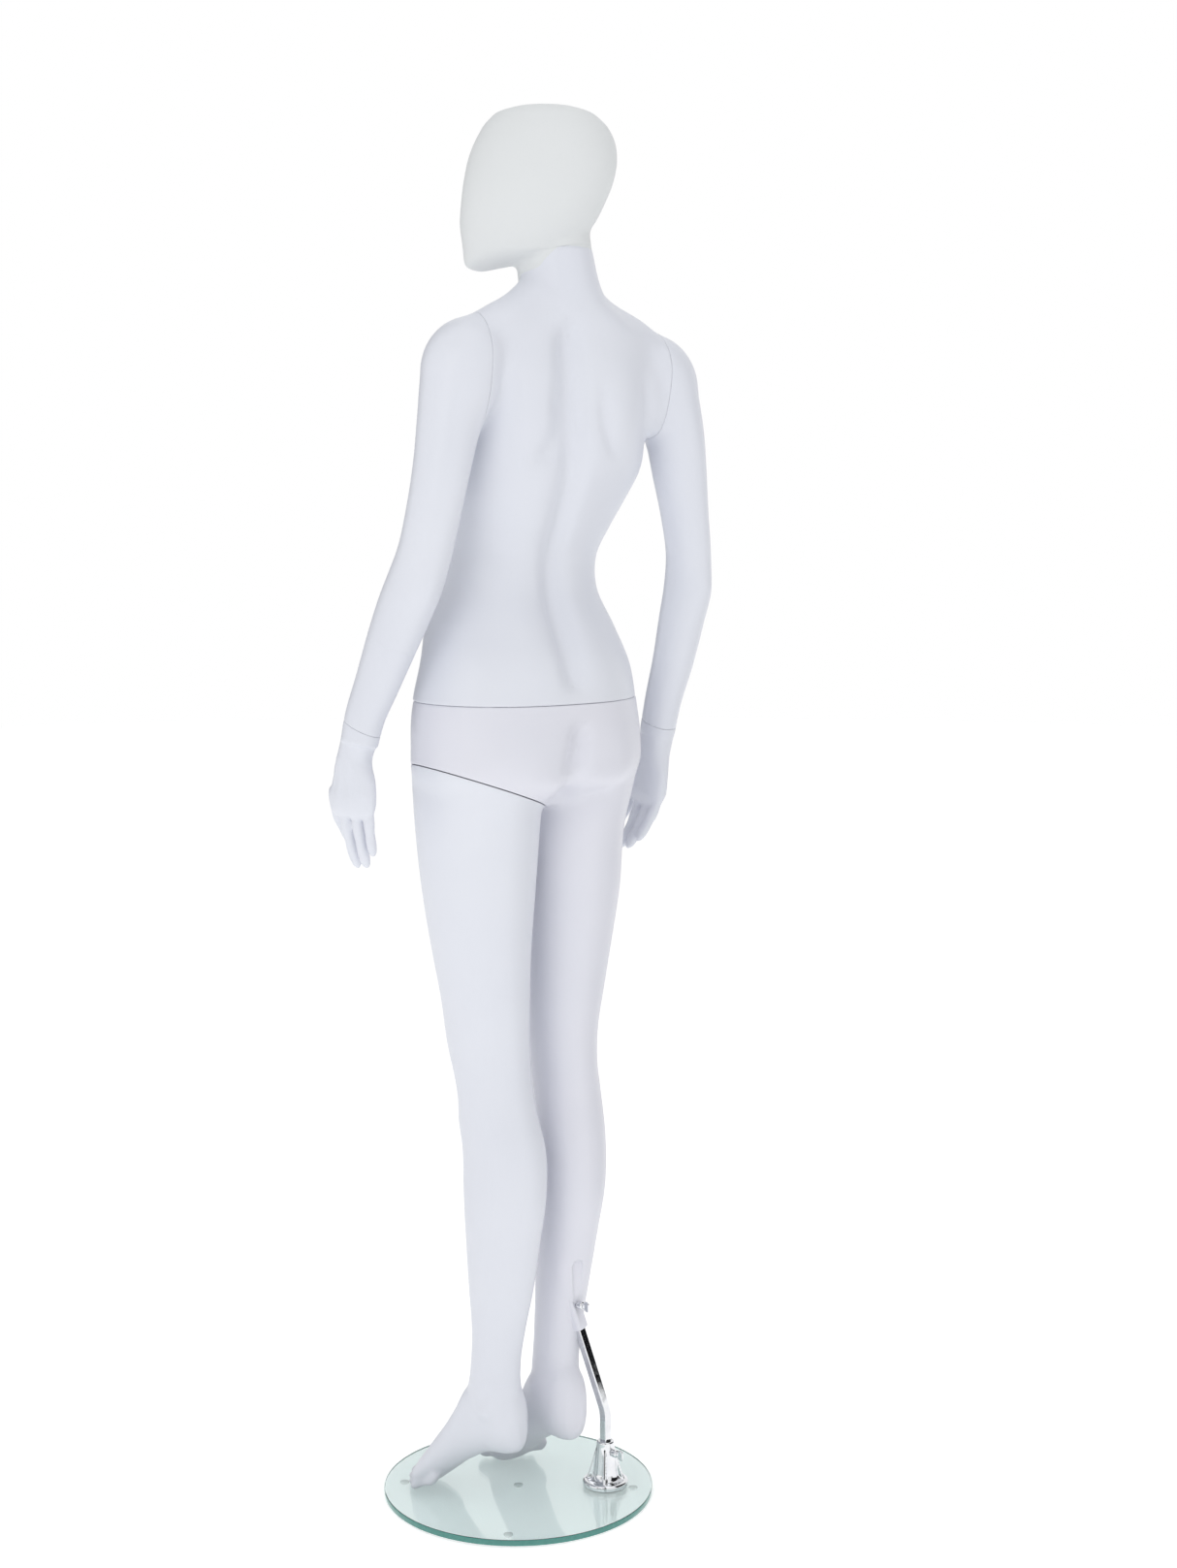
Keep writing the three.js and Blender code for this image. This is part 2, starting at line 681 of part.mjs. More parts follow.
const collarRows = [
  [1560, -20, 58, 45, 47, 20],
  [1592, -18, 54, 44, 46, 40],
  [1625, -16, 51, 42, 44, 40],
];
const neckFrame = frameAlong(neckSeam.at, neckSeam.normal);
const jawClearance = turned([[0, gap], [50, gap], [50, -60], [0, -60]], neckFrame, 20);
const headCavity = loft(headSections(wall + 1).slice(2, -1), cavitySides);
const headShell = loft(headSections(0), 20)
  .subtract(jawClearance)
  .add(loft(levelSections(collarRows), 20).intersect(above(neckSeam)))
  .subtract(headCavity.intersect(above(neckSeam, seamWall)))
  .subtract(fittings.neck.pegSeat);

// ---- hands --------------------------------------------------------------

// Palm rows run down from the wrist seam: [down, half width, half thickness].
const palmRows = [
  [-8, 22.5, 22],
  [20, 22.5, 19.5],
  [40, 23.5, 17.5],
  [64, 32, 15],
  [84, 36, 13.5],
  [96, 36.5, 12],
  [104, 33, 9],
  [109, 25, 5],
];
// Along a finger: [share of its length, share of its radius].
const fingerShape = [[-0.2, 0.92], [0, 1], [0.42, 1], [0.75, 0.9], [0.94, 0.62], [1, 0.25]];
const fingerCurl = 1.7;          // how late along its length a finger bends towards the palm

// A hand hangs down from its wrist. Each finger runs from [down, towards the thumb]
// to [down, towards the thumb, outward]; sway moves the palm rows towards the thumb.
function hand({ root, down, thumbward, outward, sway, fingers, thumb }) {
  const section = (depth, across, out, half, thick, square) => ({
    at: root.clone()
      .addScaledVector(down, depth)
      .addScaledVector(thumbward, across)
      .addScaledVector(outward, out),
    across: thumbward,
    back: outward,
    a: half,
    b: thick,
    square,
  });
  let solid = loft(palmRows.map(([depth, half, thick], i) => section(depth, sway[i], 0, half, thick, 2.2)), 12);
  for (const { from, to, radius } of fingers) {
    const sections = fingerShape.map(([share, size]) => {
      const bend = Math.max(share, 0);
      const depth = from[0] + (to[0] - from[0]) * share;
      const across = from[1] + (to[1] - from[1]) * bend;
      return section(depth, across, to[2] * bend ** fingerCurl, radius * size, radius * size);
    });
    solid = solid.add(loft(sections, 6));
  }
  const thumbRows = thumb.map(([depth, across, out, size]) => section(depth, across, out, size, size));
  return solid.add(loft(thumbRows, 6));
}

const leftHand = hand({
  root: leftWristSeam.at,
  down: new THREE.Vector3(0.06, 0.02, -1).normalize(),
  thumbward: new THREE.Vector3(0.14, -0.99, 0),
  outward: new THREE.Vector3(0.99, 0.14, 0.06),
  sway: [0, 7, 13, 12, 13, 14, 14, 14],
  fingers: [
    { from: [84, -13], to: [155, -9, -15], radius: 7.2 },
    { from: [88, 6.5], to: [171, 7, -21], radius: 8.1 },
    { from: [89, 26], to: [173, 26, -25], radius: 8.4 },
    { from: [86, 44], to: [150, 42, -36], radius: 8.2 },
  ],
  thumb: [
    [34, 30, -6, 12.5], [56, 42, -12, 13], [78, 50, -18, 11],
    [98, 54, -24, 10], [113, 55, -29, 8.2], [119, 55, -31, 3],
  ],
}).intersect(below(leftWristSeam)).subtract(fittings.leftWrist.pegSeat);

const rightHand = hand({
  root: rightWristSeam.at,
  down: new THREE.Vector3(0.1, -0.13, -1).normalize(),
  thumbward: new THREE.Vector3(-0.14, -0.99, 0.11),
  outward: new THREE.Vector3(-0.99, 0.14, -0.1),
  sway: [0, 0, 0, 1, 2, 3, 4, 4],
  fingers: [
    { from: [92, -26], to: [154, -20, -18], radius: 7.2 },
    { from: [97, -8], to: [167, -6, -22], radius: 8.1 },
    { from: [98, 10.5], to: [170, 9, -22], radius: 8.4 },
    { from: [94, 29], to: [162, 40, -20], radius: 8.2 },
  ],
  thumb: [
    [40, 20, -8, 12.5], [62, 33, -14, 13], [84, 43, -20, 11],
    [104, 48, -26, 10], [119, 50, -30, 8.2], [125, 50, -32, 3],
  ],
}).intersect(below(rightWristSeam)).subtract(fittings.rightWrist.pegSeat);

// ---- materials and assembly ---------------------------------------------

const satinWhite = { color: 0xd9dbe8, roughness: 0.42, metalness: 0 };
const matteWhite = { color: 0xdadde0, roughness: 0.62, metalness: 0 };
const chrome = { color: 0xc8cacc, roughness: 0.12, metalness: 1 };
const zinc = { color: 0x9a9da0, roughness: 0.4, metalness: 1 };
const glass = { color: 0xb7c3c4, roughness: 0.05, metalness: 0, transparent: true, opacity: 0.4 };
const rubber = { color: 0xd8dcdc, roughness: 0.5, metalness: 0 };

const figure = new THREE.Group();

function place(name, solid, finish) {
  const mesh = new THREE.Mesh(toGeometry(solid), new THREE.MeshStandardMaterial(finish));
  mesh.name = name;
  figure.add(mesh);
}

place('head', headShell, matteWhite);
place('torso', torsoShell, satinWhite);
place('left_arm', leftArmShell, satinWhite);
place('right_arm', rightArmShell, satinWhite);
place('left_hand', leftHand, satinWhite);
place('right_hand', rightHand, satinWhite);
place('pelvis_right_leg', pelvisShell, satinWhite);
place('left_leg', leftLegShell, satinWhite);
for (const [name, parts] of Object.entries({
  neck: fittings.neck,
  left_shoulder: fittings.leftShoulder,
  right_shoulder: fittings.rightShoulder,
  left_wrist: fittings.leftWrist,
  right_wrist: fittings.rightWrist,
  waist: fittings.waist,
  left_hip: fittings.leg,
})) {
  place(`${name}_socket`, parts.socket, zinc);
  place(`${name}_peg`, parts.peg, zinc);
}
place('calf_socket', calfSocket, zinc);
place('calf_clamp_screw', clampScrew, chrome);
place('calf_rod', calfRod, chrome);
place('flange', flange, chrome);
place('flange_screw', flangeScrew, chrome);
place('flange_gasket', gasket, rubber);
place('flange_bolt', flangeBolt, zinc);
place('glass_disc', glassDisc, glass);

// Clear bumpers: four near the rim, and one in the middle.
const rimPads = 4;
for (let i = 0; i <= rimPads; i += 1) {
  const angle = ((i + 0.5) / rimPads) * 2 * Math.PI;
  const reach = i < rimPads ? padCircle : 0;
  const pad = turned([
    [0, 0], [padRadius - 1, 0], [padRadius, 1], [padRadius, padHeight - gap], [0, padHeight - gap],
  ], upright(reach * Math.cos(angle), reach * Math.sin(angle), 0));
  place(`glass_pad_${i + 1}`, pad, rubber);
}

export default figure;
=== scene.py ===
from math import cos, radians, sin

import bmesh
import bpy
import numpy as np
from mathutils import Matrix, Vector
from mathutils.bvhtree import BVHTree


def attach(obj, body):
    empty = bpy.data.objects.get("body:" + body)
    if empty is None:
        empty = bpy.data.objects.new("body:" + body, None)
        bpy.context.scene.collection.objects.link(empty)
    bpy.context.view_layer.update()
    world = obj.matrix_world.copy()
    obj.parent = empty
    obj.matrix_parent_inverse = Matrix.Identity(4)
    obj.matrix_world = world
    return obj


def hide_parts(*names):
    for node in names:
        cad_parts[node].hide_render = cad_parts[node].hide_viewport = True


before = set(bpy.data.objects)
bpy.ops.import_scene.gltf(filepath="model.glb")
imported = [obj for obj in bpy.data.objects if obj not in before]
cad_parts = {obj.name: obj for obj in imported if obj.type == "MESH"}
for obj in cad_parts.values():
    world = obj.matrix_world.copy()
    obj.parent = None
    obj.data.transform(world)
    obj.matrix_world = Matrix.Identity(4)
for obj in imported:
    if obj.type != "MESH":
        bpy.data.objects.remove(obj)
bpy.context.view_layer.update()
mm = 0.001                      # tables below are in millimetres, meshes in metres
bpy.context.scene.view_settings.view_transform = "Standard"
print("frame loaded")

# ---- camera ----
shot = {"around": 140, "distance": 3140, "height": 1372.5, "pitch": 7.98, "yaw": 1.67, "lens": 57.88}


def makeCamera(shot):
    turn, pitch, yaw = (radians(shot[key]) for key in ("around", "pitch", "yaw"))
    right = Vector((cos(turn), sin(turn), 0))
    away = Vector((-sin(turn), cos(turn), 0))
    up = Vector((0, 0, 1))
    ahead = (right * sin(yaw) + away * cos(yaw)) * cos(pitch) - up * sin(pitch)
    side = right * cos(yaw) - away * sin(yaw)
    data = bpy.data.cameras.new("studioCamera")
    data.sensor_width = 36
    data.lens = shot["lens"]
    data.clip_end = 60
    camera = bpy.data.objects.new("studioCamera", data)
    place = Matrix((side, side.cross(ahead), -ahead)).transposed().to_4x4()
    place.translation = (up * shot["height"] - away * shot["distance"]) * mm
    camera.matrix_world = place
    bpy.context.scene.collection.objects.link(camera)
    bpy.context.scene.camera = camera


makeCamera(shot)


# ---- shader maths ----
class Wire:
    def __init__(self, shade, socket):
        self.shade = shade
        self.socket = socket

    def maths(self, operation, first, second):
        return self.shade.node("ShaderNodeMath", {"operation": operation}, {0: first, 1: second})

    def __add__(self, other):
        return self.maths("ADD", self, other)

    def __radd__(self, other):
        return self.maths("ADD", other, self)

    def __sub__(self, other):
        return self.maths("SUBTRACT", self, other)

    def __rsub__(self, other):
        return self.maths("SUBTRACT", other, self)

    def __mul__(self, other):
        return self.maths("MULTIPLY", self, other)

    def __rmul__(self, other):
        return self.maths("MULTIPLY", other, self)

    def __pow__(self, other):
        return self.maths("POWER", self, other)


class Shade:
    # one procedural material, with a Principled surface at its end
    def __init__(self, name, **fixed):
        self.material = bpy.data.materials.new(name)
        self.material.use_nodes = True
        self.tree = self.material.node_tree
        self.tree.nodes.clear()
        self.surface = self.tree.nodes.new("ShaderNodeBsdfPrincipled")
        self.end = self.tree.nodes.new("ShaderNodeOutputMaterial")
        self.tree.links.new(self.surface.outputs[0], self.end.inputs["Surface"])
        for key, value in fixed.items():
            self.feed(self.surface.inputs[key.replace("_", " ")], value)
        self.where = self.node("ShaderNodeTexCoord", {}, {}, "Object")

    def feed(self, socket, value):
        if isinstance(value, Wire):
            self.tree.links.new(value.socket, socket)
        elif hasattr(socket.default_value, "__len__") and len(socket.default_value) == 4:
            socket.default_value = (*value, 1)[:4]
        else:
            socket.default_value = value

    def node(self, kind, settings, inputs, output=0):
        made = self.tree.nodes.new(kind)
        for key, value in settings.items():
            if key == "stops":
                for stop, (spot, shade) in zip(made.color_ramp.elements, value):
                    stop.position = spot
                    stop.color = (shade, shade, shade, 1)
            else:
                setattr(made, key, value)
        for key, value in inputs.items():
            self.feed(made.inputs[key], value)
        return Wire(self, made.outputs[output])

    def noise(self, scale, detail=2, where=None):
        spot = where or self.where
        return self.node("ShaderNodeTexNoise", {}, {"Vector": spot, "Scale": scale, "Detail": detail})

    def ramp(self, value, low, high):
        span = {"Value": value, "From Min": low, "From Max": high}
        return self.node("ShaderNodeMapRange", {"clamp": True}, span)

    def blend(self, share, first, second):
        return self.node("ShaderNodeMix", {"data_type": "RGBA"}, {0: share, 6: first, 7: second}, 2)

    def bump(self, height, distance, strength=1, under=None):
        inputs = {"Height": height, "Distance": distance, "Strength": strength}
        if under:
            inputs["Normal"] = under
        return self.node("ShaderNodeBump", {}, inputs)

    def set(self, **wires):
        for key, value in wires.items():
            self.feed(self.surface.inputs[key.replace("_", " ")], value)
        return self.material


def paint(name, look):
    # sprayed paint over a moulded shell: broad tone drift, orange peel, fine dust nibs
    shade = Shade(name, IOR=1.46, Specular_IOR_Level=look["shine"])
    drift = shade.ramp(shade.noise(5, 3), 0.35, 0.65)
    rub = shade.ramp(shade.noise(26, 4), 0.4, 0.75)
    peel = shade.noise(look["peel"], 2)
    nibs = shade.ramp(shade.noise(900, 0), 0.76, 0.82)
    tone = shade.blend(drift, look["colour"], look["drift"])
    tone = shade.blend(nibs * 0.25, tone, look["speck"])
    rough = look["rough"] + 0.06 * rub + 0.03 * drift
    height = peel + 0.5 * nibs
    return shade.set(Base_Color=tone, Roughness=rough, Normal=shade.bump(height, look["grain"]))


def metal(name, look):
    # plated steel: smudges and hairline polishing marks
    shade = Shade(name, Metallic=1, Specular_IOR_Level=0.5)
    stretched = shade.node("ShaderNodeMapping", {}, {"Vector": shade.where, "Scale": look["hair"]})
    hair = shade.noise(1, 3, stretched)
    smudge = shade.ramp(shade.noise(60, 4), 0.42, 0.7)
    tone = shade.blend(smudge * 0.5, look["colour"], look["dull"])
    rough = look["rough"] + look["smear"] * smudge + 0.03 * hair
    return shade.set(Base_Color=tone, Roughness=rough, Normal=shade.bump(hair, look["depth"]))


bodyLook = {
    "colour": (0.72, 0.74, 0.80), "drift": (0.70, 0.72, 0.785), "speck": (0.6, 0.61, 0.66),
    "rough": 0.36, "shine": 0.5, "peel": 420, "grain": 0.00004,
}
hipLook = {**bodyLook, "colour": (0.72, 0.725, 0.79), "drift": (0.70, 0.71, 0.775)}
headLook = {
    "colour": (0.72, 0.74, 0.75), "drift": (0.70, 0.72, 0.73), "speck": (0.58, 0.6, 0.6),
    "rough": 0.56, "shine": 0.35, "peel": 1100, "grain": 0.00006,
}
chromeLook = {
    "colour": (0.8, 0.81, 0.83), "dull": (0.62, 0.63, 0.65), "rough": 0.05, "smear": 0.1,
    "hair": (900, 900, 60), "depth": 0.000004,
}
zincLook = {
    "colour": (0.52, 0.53, 0.54), "dull": (0.4, 0.41, 0.42), "rough": 0.3, "smear": 0.2,
    "hair": (300, 300, 300), "depth": 0.00002,
}
bodyPaint = paint("satinBodyPaint", bodyLook)
hipPaint = paint("satinHipPaint", hipLook)
headPaint = paint("matteHeadPaint", headLook)
chromePlate = metal("chromePlate", chromeLook)
zincPlate = metal("zincPlate", zincLook)


def clearGlass():
    shade = Shade("clearFloatGlass", IOR=1.5, Transmission_Weight=1, Roughness=0.0)
    haze = shade.ramp(shade.noise(9, 4), 0.45, 0.75)
    tone = shade.blend(haze * 0.4, (0.80, 0.89, 0.885), (0.83, 0.90, 0.895))
    return shade.set(Base_Color=tone, Roughness=0.01 + 0.03 * haze)


def edgeGlass():
    shade = Shade("greenGlassEdge", IOR=1.5, Transmission_Weight=0.45, Coat_Weight=0.6, Coat_Roughness=0.05)
    grind = shade.noise(240, 3)
    tone = shade.blend(grind, (0.05, 0.36, 0.30), (0.11, 0.46, 0.40))
    return shade.set(Base_Color=tone, Roughness=0.12 + 0.2 * grind, Normal=shade.bump(grind, 0.00005))


def softRubber():
    shade = Shade("clearBumperRubber", IOR=1.45, Transmission_Weight=0.5)
    cloud = shade.noise(180, 3)
    tone = shade.blend(cloud, (0.7, 0.73, 0.73), (0.8, 0.82, 0.82))
    return shade.set(Base_Color=tone, Roughness=0.25 + 0.2 * cloud)


discGlass = clearGlass()
rimGlass = edgeGlass()
bumperRubber = softRubber()
print("materials made")


# ---- mesh tools ----
def link(name, data):
    made = bpy.data.objects.new(name, data)
    bpy.context.scene.collection.objects.link(made)
    return made


def linkShape(name, shape):
    # turns a working mesh into an object
    mesh = bpy.data.meshes.new(name)
    shape.to_mesh(mesh)
    shape.free()
    return link(name, mesh)


def makeObject(name, points, faces):
    mesh = bpy.data.meshes.new(name)
    mesh.from_pydata([tuple(point) for point in points], [], faces)
    return link(name, mesh)


def smoothRows(rows, step):
    # rows along a smooth curve, about one step of length apart
    table = np.array(rows, float)
    reach = np.linalg.norm(np.diff(table[:, :3], axis=0), axis=1)
    knots = np.concatenate([[0], np.cumsum(np.maximum(reach, 1e-3))])
    slope = np.gradient(table, knots, axis=0)
    spots = np.linspace(0, knots[-1], max(int(knots[-1] / step), 4) + 1)
    index = np.clip(np.searchsorted(knots, spots, "right") - 1, 0, len(knots) - 2)
    span = (knots[index + 1] - knots[index])[:, None]
    t = (spots[:, None] - knots[index][:, None]) / span
    start, finish = table[index], table[index + 1]
    return (
        start * (2 * t**3 - 3 * t**2 + 1) + finish * (3 * t**2 - 2 * t**3)
        + slope[index] * span * (t**3 - 2 * t**2 + t) + slope[index + 1] * span * (t**3 - t**2)
    )


def tube(name, centres, across, back, halves, square=2.0, sides=64):
    # a closed loft with one oval section per centre
    angle = np.linspace(0, 2 * np.pi, sides, endpoint=False)
    stretch = (np.abs(np.cos(angle)) ** square + np.abs(np.sin(angle)) ** square) ** (-1 / square)
    wide = (np.cos(angle) * stretch)[None, :, None]
    deep = (np.sin(angle) * stretch)[None, :, None]
    points = (
        centres[:, None, :] + across[:, None, :] * halves[:, 0][:, None, None] * wide
        + back[:, None, :] * halves[:, 1][:, None, None] * deep
    )
    count = len(centres)
    faces = []
    for row in range(count - 1):
        for side in range(sides):
            after = (side + 1) % sides
            first, second = row * sides, (row + 1) * sides
            faces.append((first + side, first + after, second + after, second + side))
    faces.append(tuple(range(sides))[::-1])
    faces.append(tuple((count - 1) * sides + side for side in range(sides)))
    made = makeObject(name, points.reshape(-1, 3) * mm, faces)
    outwards(made.data)
    return made


def outwards(mesh):
    shape = bmesh.new()
    shape.from_mesh(mesh)
    bmesh.ops.recalc_face_normals(shape, faces=shape.faces)
    shape.to_mesh(mesh)
    shape.free()


def levelTube(name, rows, tilt=0.0, square=2.0, step=5, sides=64):
    # rows of [z, x, y, half width, half depth, turn in degrees]
    full = smoothRows([[*row, 0][:6] for row in rows], step)
    turn = np.radians(full[:, 5])
    across = np.stack([np.cos(turn), np.sin(turn), np.full(len(full), tilt)], 1)
    back = np.stack([-np.sin(turn), np.cos(turn), np.zeros(len(full))], 1)
    return tube(name, full[:, [1, 2, 0]], across, back, np.maximum(full[:, 3:5], 1), square, sides)


def pathTube(name, rows, sideways, step=5, sides=48, square=2.0):
    # rows of [x, y, z, half width, half depth] with sections square to the path
    full = smoothRows(rows, step)
    along = np.gradient(full[:, :3], axis=0)
    along /= np.linalg.norm(along, axis=1)[:, None]
    back = np.cross(along, np.array(sideways, float))
    back /= np.linalg.norm(back, axis=1)[:, None]
    across = np.cross(back, along)
    return tube(name, full[:, :3], across, back, np.maximum(full[:, 3:5], 0.6), square, sides)


def egg(name, at, radii, turn=0.0):
    shape = bmesh.new()
    bmesh.ops.create_icosphere(shape, subdivisions=4, radius=1)
    place = Matrix.Translation(Vector(at) * mm) @ Matrix.Rotation(radians(turn), 4, "Z")
    bmesh.ops.transform(shape, matrix=place @ Matrix.Diagonal((*(Vector(radii) * mm), 1)), verts=shape.verts)
    return linkShape(name, shape)


def spun(profile, sides, place):
    # a closed shape from a profile of [radius, height], turned about +Z and then placed
    shape = bmesh.new()
    line = [shape.verts.new((x * mm, 0, z * mm)) for x, z in profile]
    edges = [shape.edges.new(pair) for pair in zip(line, line[1:])]
    bmesh.ops.spin(
        shape, geom=[*line, *edges], axis=(0, 0, 1), cent=(0, 0, 0), angle=2 * np.pi,
        steps=sides, use_merge=True,
    )
    bmesh.ops.remove_doubles(shape, verts=shape.verts, dist=1e-6)
    bmesh.ops.recalc_face_normals(shape, faces=shape.faces)
    bmesh.ops.transform(shape, matrix=place, verts=shape.verts)
    return shape


def readPoints(mesh, field="co"):
    source = mesh.vertices if field == "co" else mesh.vertex_normals
    flat = np.empty(len(mesh.vertices) * 3, np.float32)
    source.foreach_get("co" if field == "co" else "vector", flat)
    return flat.reshape(-1, 3).astype(float)


def writePoints(mesh, points):
    mesh.vertices.foreach_set("co", points.astype(np.float32).ravel())
    mesh.update()


def relax(mesh, weight, rounds, pace=0.5):
    # pulls each point towards the middle of its neighbours, by its own weight
    points = readPoints(mesh)
    ends = np.empty(len(mesh.edges) * 2, np.int32)
    mesh.edges.foreach_get("vertices", ends)
    first, second = ends.reshape(-1, 2).T
    count = len(points)
    degree = np.bincount(first, minlength=count) + np.bincount(second, minlength=count)
    share = (pace * np.broadcast_to(weight, count))[:, None]
    for _ in range(rounds):
        total = np.stack([
            np.bincount(first, points[second, axis], count) + np.bincount(second, points[first, axis], count)
            for axis in range(3)
        ], 1)
        points += share * (total / degree[:, None] - points)
    writePoints(mesh, points)


def fuse(name, parts, voxel, fillet=0, rounds=0, settle=4):
    # one skin over overlapping solids, with soft fillets where two of them meet
    trees = []
    shape = bmesh.new()
    for part in parts:
        shape.from_mesh(part.data)
        piece = bmesh.new()
        piece.from_mesh(part.data)
        trees.append(BVHTree.FromBMesh(piece))
        piece.free()
        bpy.data.objects.remove(part)
    made = linkShape(name, shape)
    remesh = made.modifiers.new("skin", "REMESH")
    remesh.mode = "VOXEL"
    remesh.voxel_size = voxel * mm
    skin = bpy.data.meshes.new_from_object(made.evaluated_get(bpy.context.evaluated_depsgraph_get()))
    made.modifiers.clear()
    made.data = skin
    skin.name = name
    if fillet and len(trees) > 1:
        points = readPoints(skin)
        reach = fillet * mm
        near = np.full((len(points), 2), reach)
        for tree in trees:
            for index, point in enumerate(points):
                hit = tree.find_nearest(point, reach)
                if hit[0] is not None:
                    away = hit[3]
                    if away < near[index, 0]:
                        near[index] = away, near[index, 0]
                    elif away < near[index, 1]:
                        near[index, 1] = away
        weight = 1 - near[:, 1] / reach
        relax(skin, weight**1.5, rounds)
    relax(skin, 1, settle)
    return made


def bumps(points, facing, table):
    # soft round swellings and hollows: [x, y, z, rx, ry, rz, height] pushed along the surface
    for x, y, z, rx, ry, rz, height in table:
        off = (points / mm - (x, y, z)) / (rx, ry, rz)
        points = points + facing * (height * mm * np.exp(-(off**2).sum(1)))[:, None]
    return points


def strokes(points, facing, table):
    # ridges and grooves along a line: {"line", "width", "height"}
    for stroke in table:
        line = smoothRows(stroke["line"], 4) * mm
        low, high = line.min(0) - 3 * stroke["width"] * mm, line.max(0) + 3 * stroke["width"] * mm
        close = np.where(((points > low) & (points < high)).all(1))[0]
        off = np.linalg.norm(points[close][:, None, :] - line[None], axis=2)
        spot = off.argmin(1)
        off = off[np.arange(len(close)), spot] / (stroke["width"] * mm)
        along = spot / (len(line) - 1)
        fade = np.clip(np.minimum(along, 1 - along) / stroke.get("fade", 0.2), 0, 1)
        push = stroke["height"] * mm * np.exp(-(off**2)) * fade * fade * (3 - 2 * fade)
        points[close] += facing[close] * push[:, None]
    return points


def sculpt(target, swell=(), lines=()):
    mesh = target.data
    points = bumps(readPoints(mesh), readPoints(mesh, "normal"), swell)
    writePoints(mesh, points)
    writePoints(mesh, strokes(readPoints(mesh), readPoints(mesh, "normal"), lines))


def seamAt(at, normal, open):
    return {"at": Vector(at) * mm, "normal": Vector(normal).normalized(), "open": open}


lip = {"gap": 0.55, "steps": (5, 3, 1.8, 1.1, 0.55), "sink": (0, 0.05, 0.2, 0.55, 1.1)}


def roundLips(shape, seam, region):
    # edge loops beside a seam plane, sunk a little so that both lips end up rounded
    at, normal = seam["at"], seam["normal"]
    widest = lip["steps"][0] * mm
    steps = [*lip["steps"][:-1], lip["gap"] * seam["open"]]
    for offset in sorted({side * step for step in steps for side in (-1, 1)} | {0}):
        faces = [
            face for face in shape.faces
            if abs((face.calc_center_median() - at).dot(normal)) < widest + 0.02
            and region(face.calc_center_median())
        ]
        verts = {vert for face in faces for vert in face.verts}
        edges = {edge for face in faces for edge in face.edges}
        bmesh.ops.bisect_plane(
            shape, geom=[*verts, *edges, *faces], dist=1e-6,
            plane_co=at + normal * offset * mm, plane_no=normal,
        )
    shape.normal_update()
    inward = {}
    for vert in shape.verts:
        off = abs((vert.co - at).dot(normal)) / mm
        if off < lip["steps"][0] and region(vert.co):
            depth = np.interp(off, lip["steps"][::-1], lip["sink"][::-1]) * seam["open"]
            flat = vert.normal - normal * vert.normal.dot(normal)
            if flat.length > 1e-6:
                inward[vert] = flat.normalized() * depth * mm
    for vert, move in inward.items():
        vert.co -= move


def part(target, seam, region):
    # cuts a skin through along a seam plane, inside a region, and caps both sides
    shape = bmesh.new()
    shape.from_mesh(target.data)
    roundLips(shape, seam, region)
    at, normal = seam["at"], seam["normal"]
    tight = lip["gap"] * seam["open"] * 0.5 * mm
    cut = [
        edge for edge in shape.edges
        if all(abs((vert.co - at).dot(normal)) < tight and region(vert.co) for vert in edge.verts)
    ]
    bmesh.ops.delete(shape, geom=list({face for edge in cut for face in edge.link_faces}), context="FACES")
    bmesh.ops.delete(shape, geom=[vert for vert in shape.verts if not vert.link_faces], context="VERTS")
    bmesh.ops.edgenet_fill(shape, edges=[edge for edge in shape.edges if edge.is_boundary])
    bmesh.ops.recalc_face_normals(shape, faces=shape.faces)
    shape.to_mesh(target.data)
    shape.free()


def carve(target, cutter, operation, name=None):
    # a copy of the target, cut by or kept inside a closed cutter
    made = link(name or target.name, target.data)
    cut = made.modifiers.new("cut", "BOOLEAN")
    cut.operation = operation
    cut.object = cutter
    cut.solver = "MANIFOLD"
    made.data = bpy.data.meshes.new_from_object(made.evaluated_get(bpy.context.evaluated_depsgraph_get()))
    made.modifiers.clear()
    return made


def splitLoose(target):
    # the separate shells of an object, largest first
    shape = bmesh.new()
    shape.from_mesh(target.data)
    shape.verts.ensure_lookup_table()
    label = {}
    groups = []
    for seed in shape.verts:
        if seed in label:
            continue
        group = [seed]
        label[seed] = len(groups)
        for vert in group:
            for edge in vert.link_edges:
                other = edge.other_vert(vert)
                if other not in label:
                    label[other] = len(groups)
                    group.append(other)
        groups.append(group)
    made = []
    for group in sorted(groups, key=len, reverse=True):
        if len(group) < 60:
            continue
        order = {vert: index for index, vert in enumerate(group)}
        faces = {face for vert in group for face in vert.link_faces}
        listed = sorted(tuple(order[vert] for vert in face.verts) for face in faces)
        made.append(makeObject(f"{target.name}Shell", [vert.co.copy() for vert in group], listed))
    shape.free()
    bpy.data.objects.remove(target)
    return made


def middle(target):
    return readPoints(target.data).mean(0) / mm


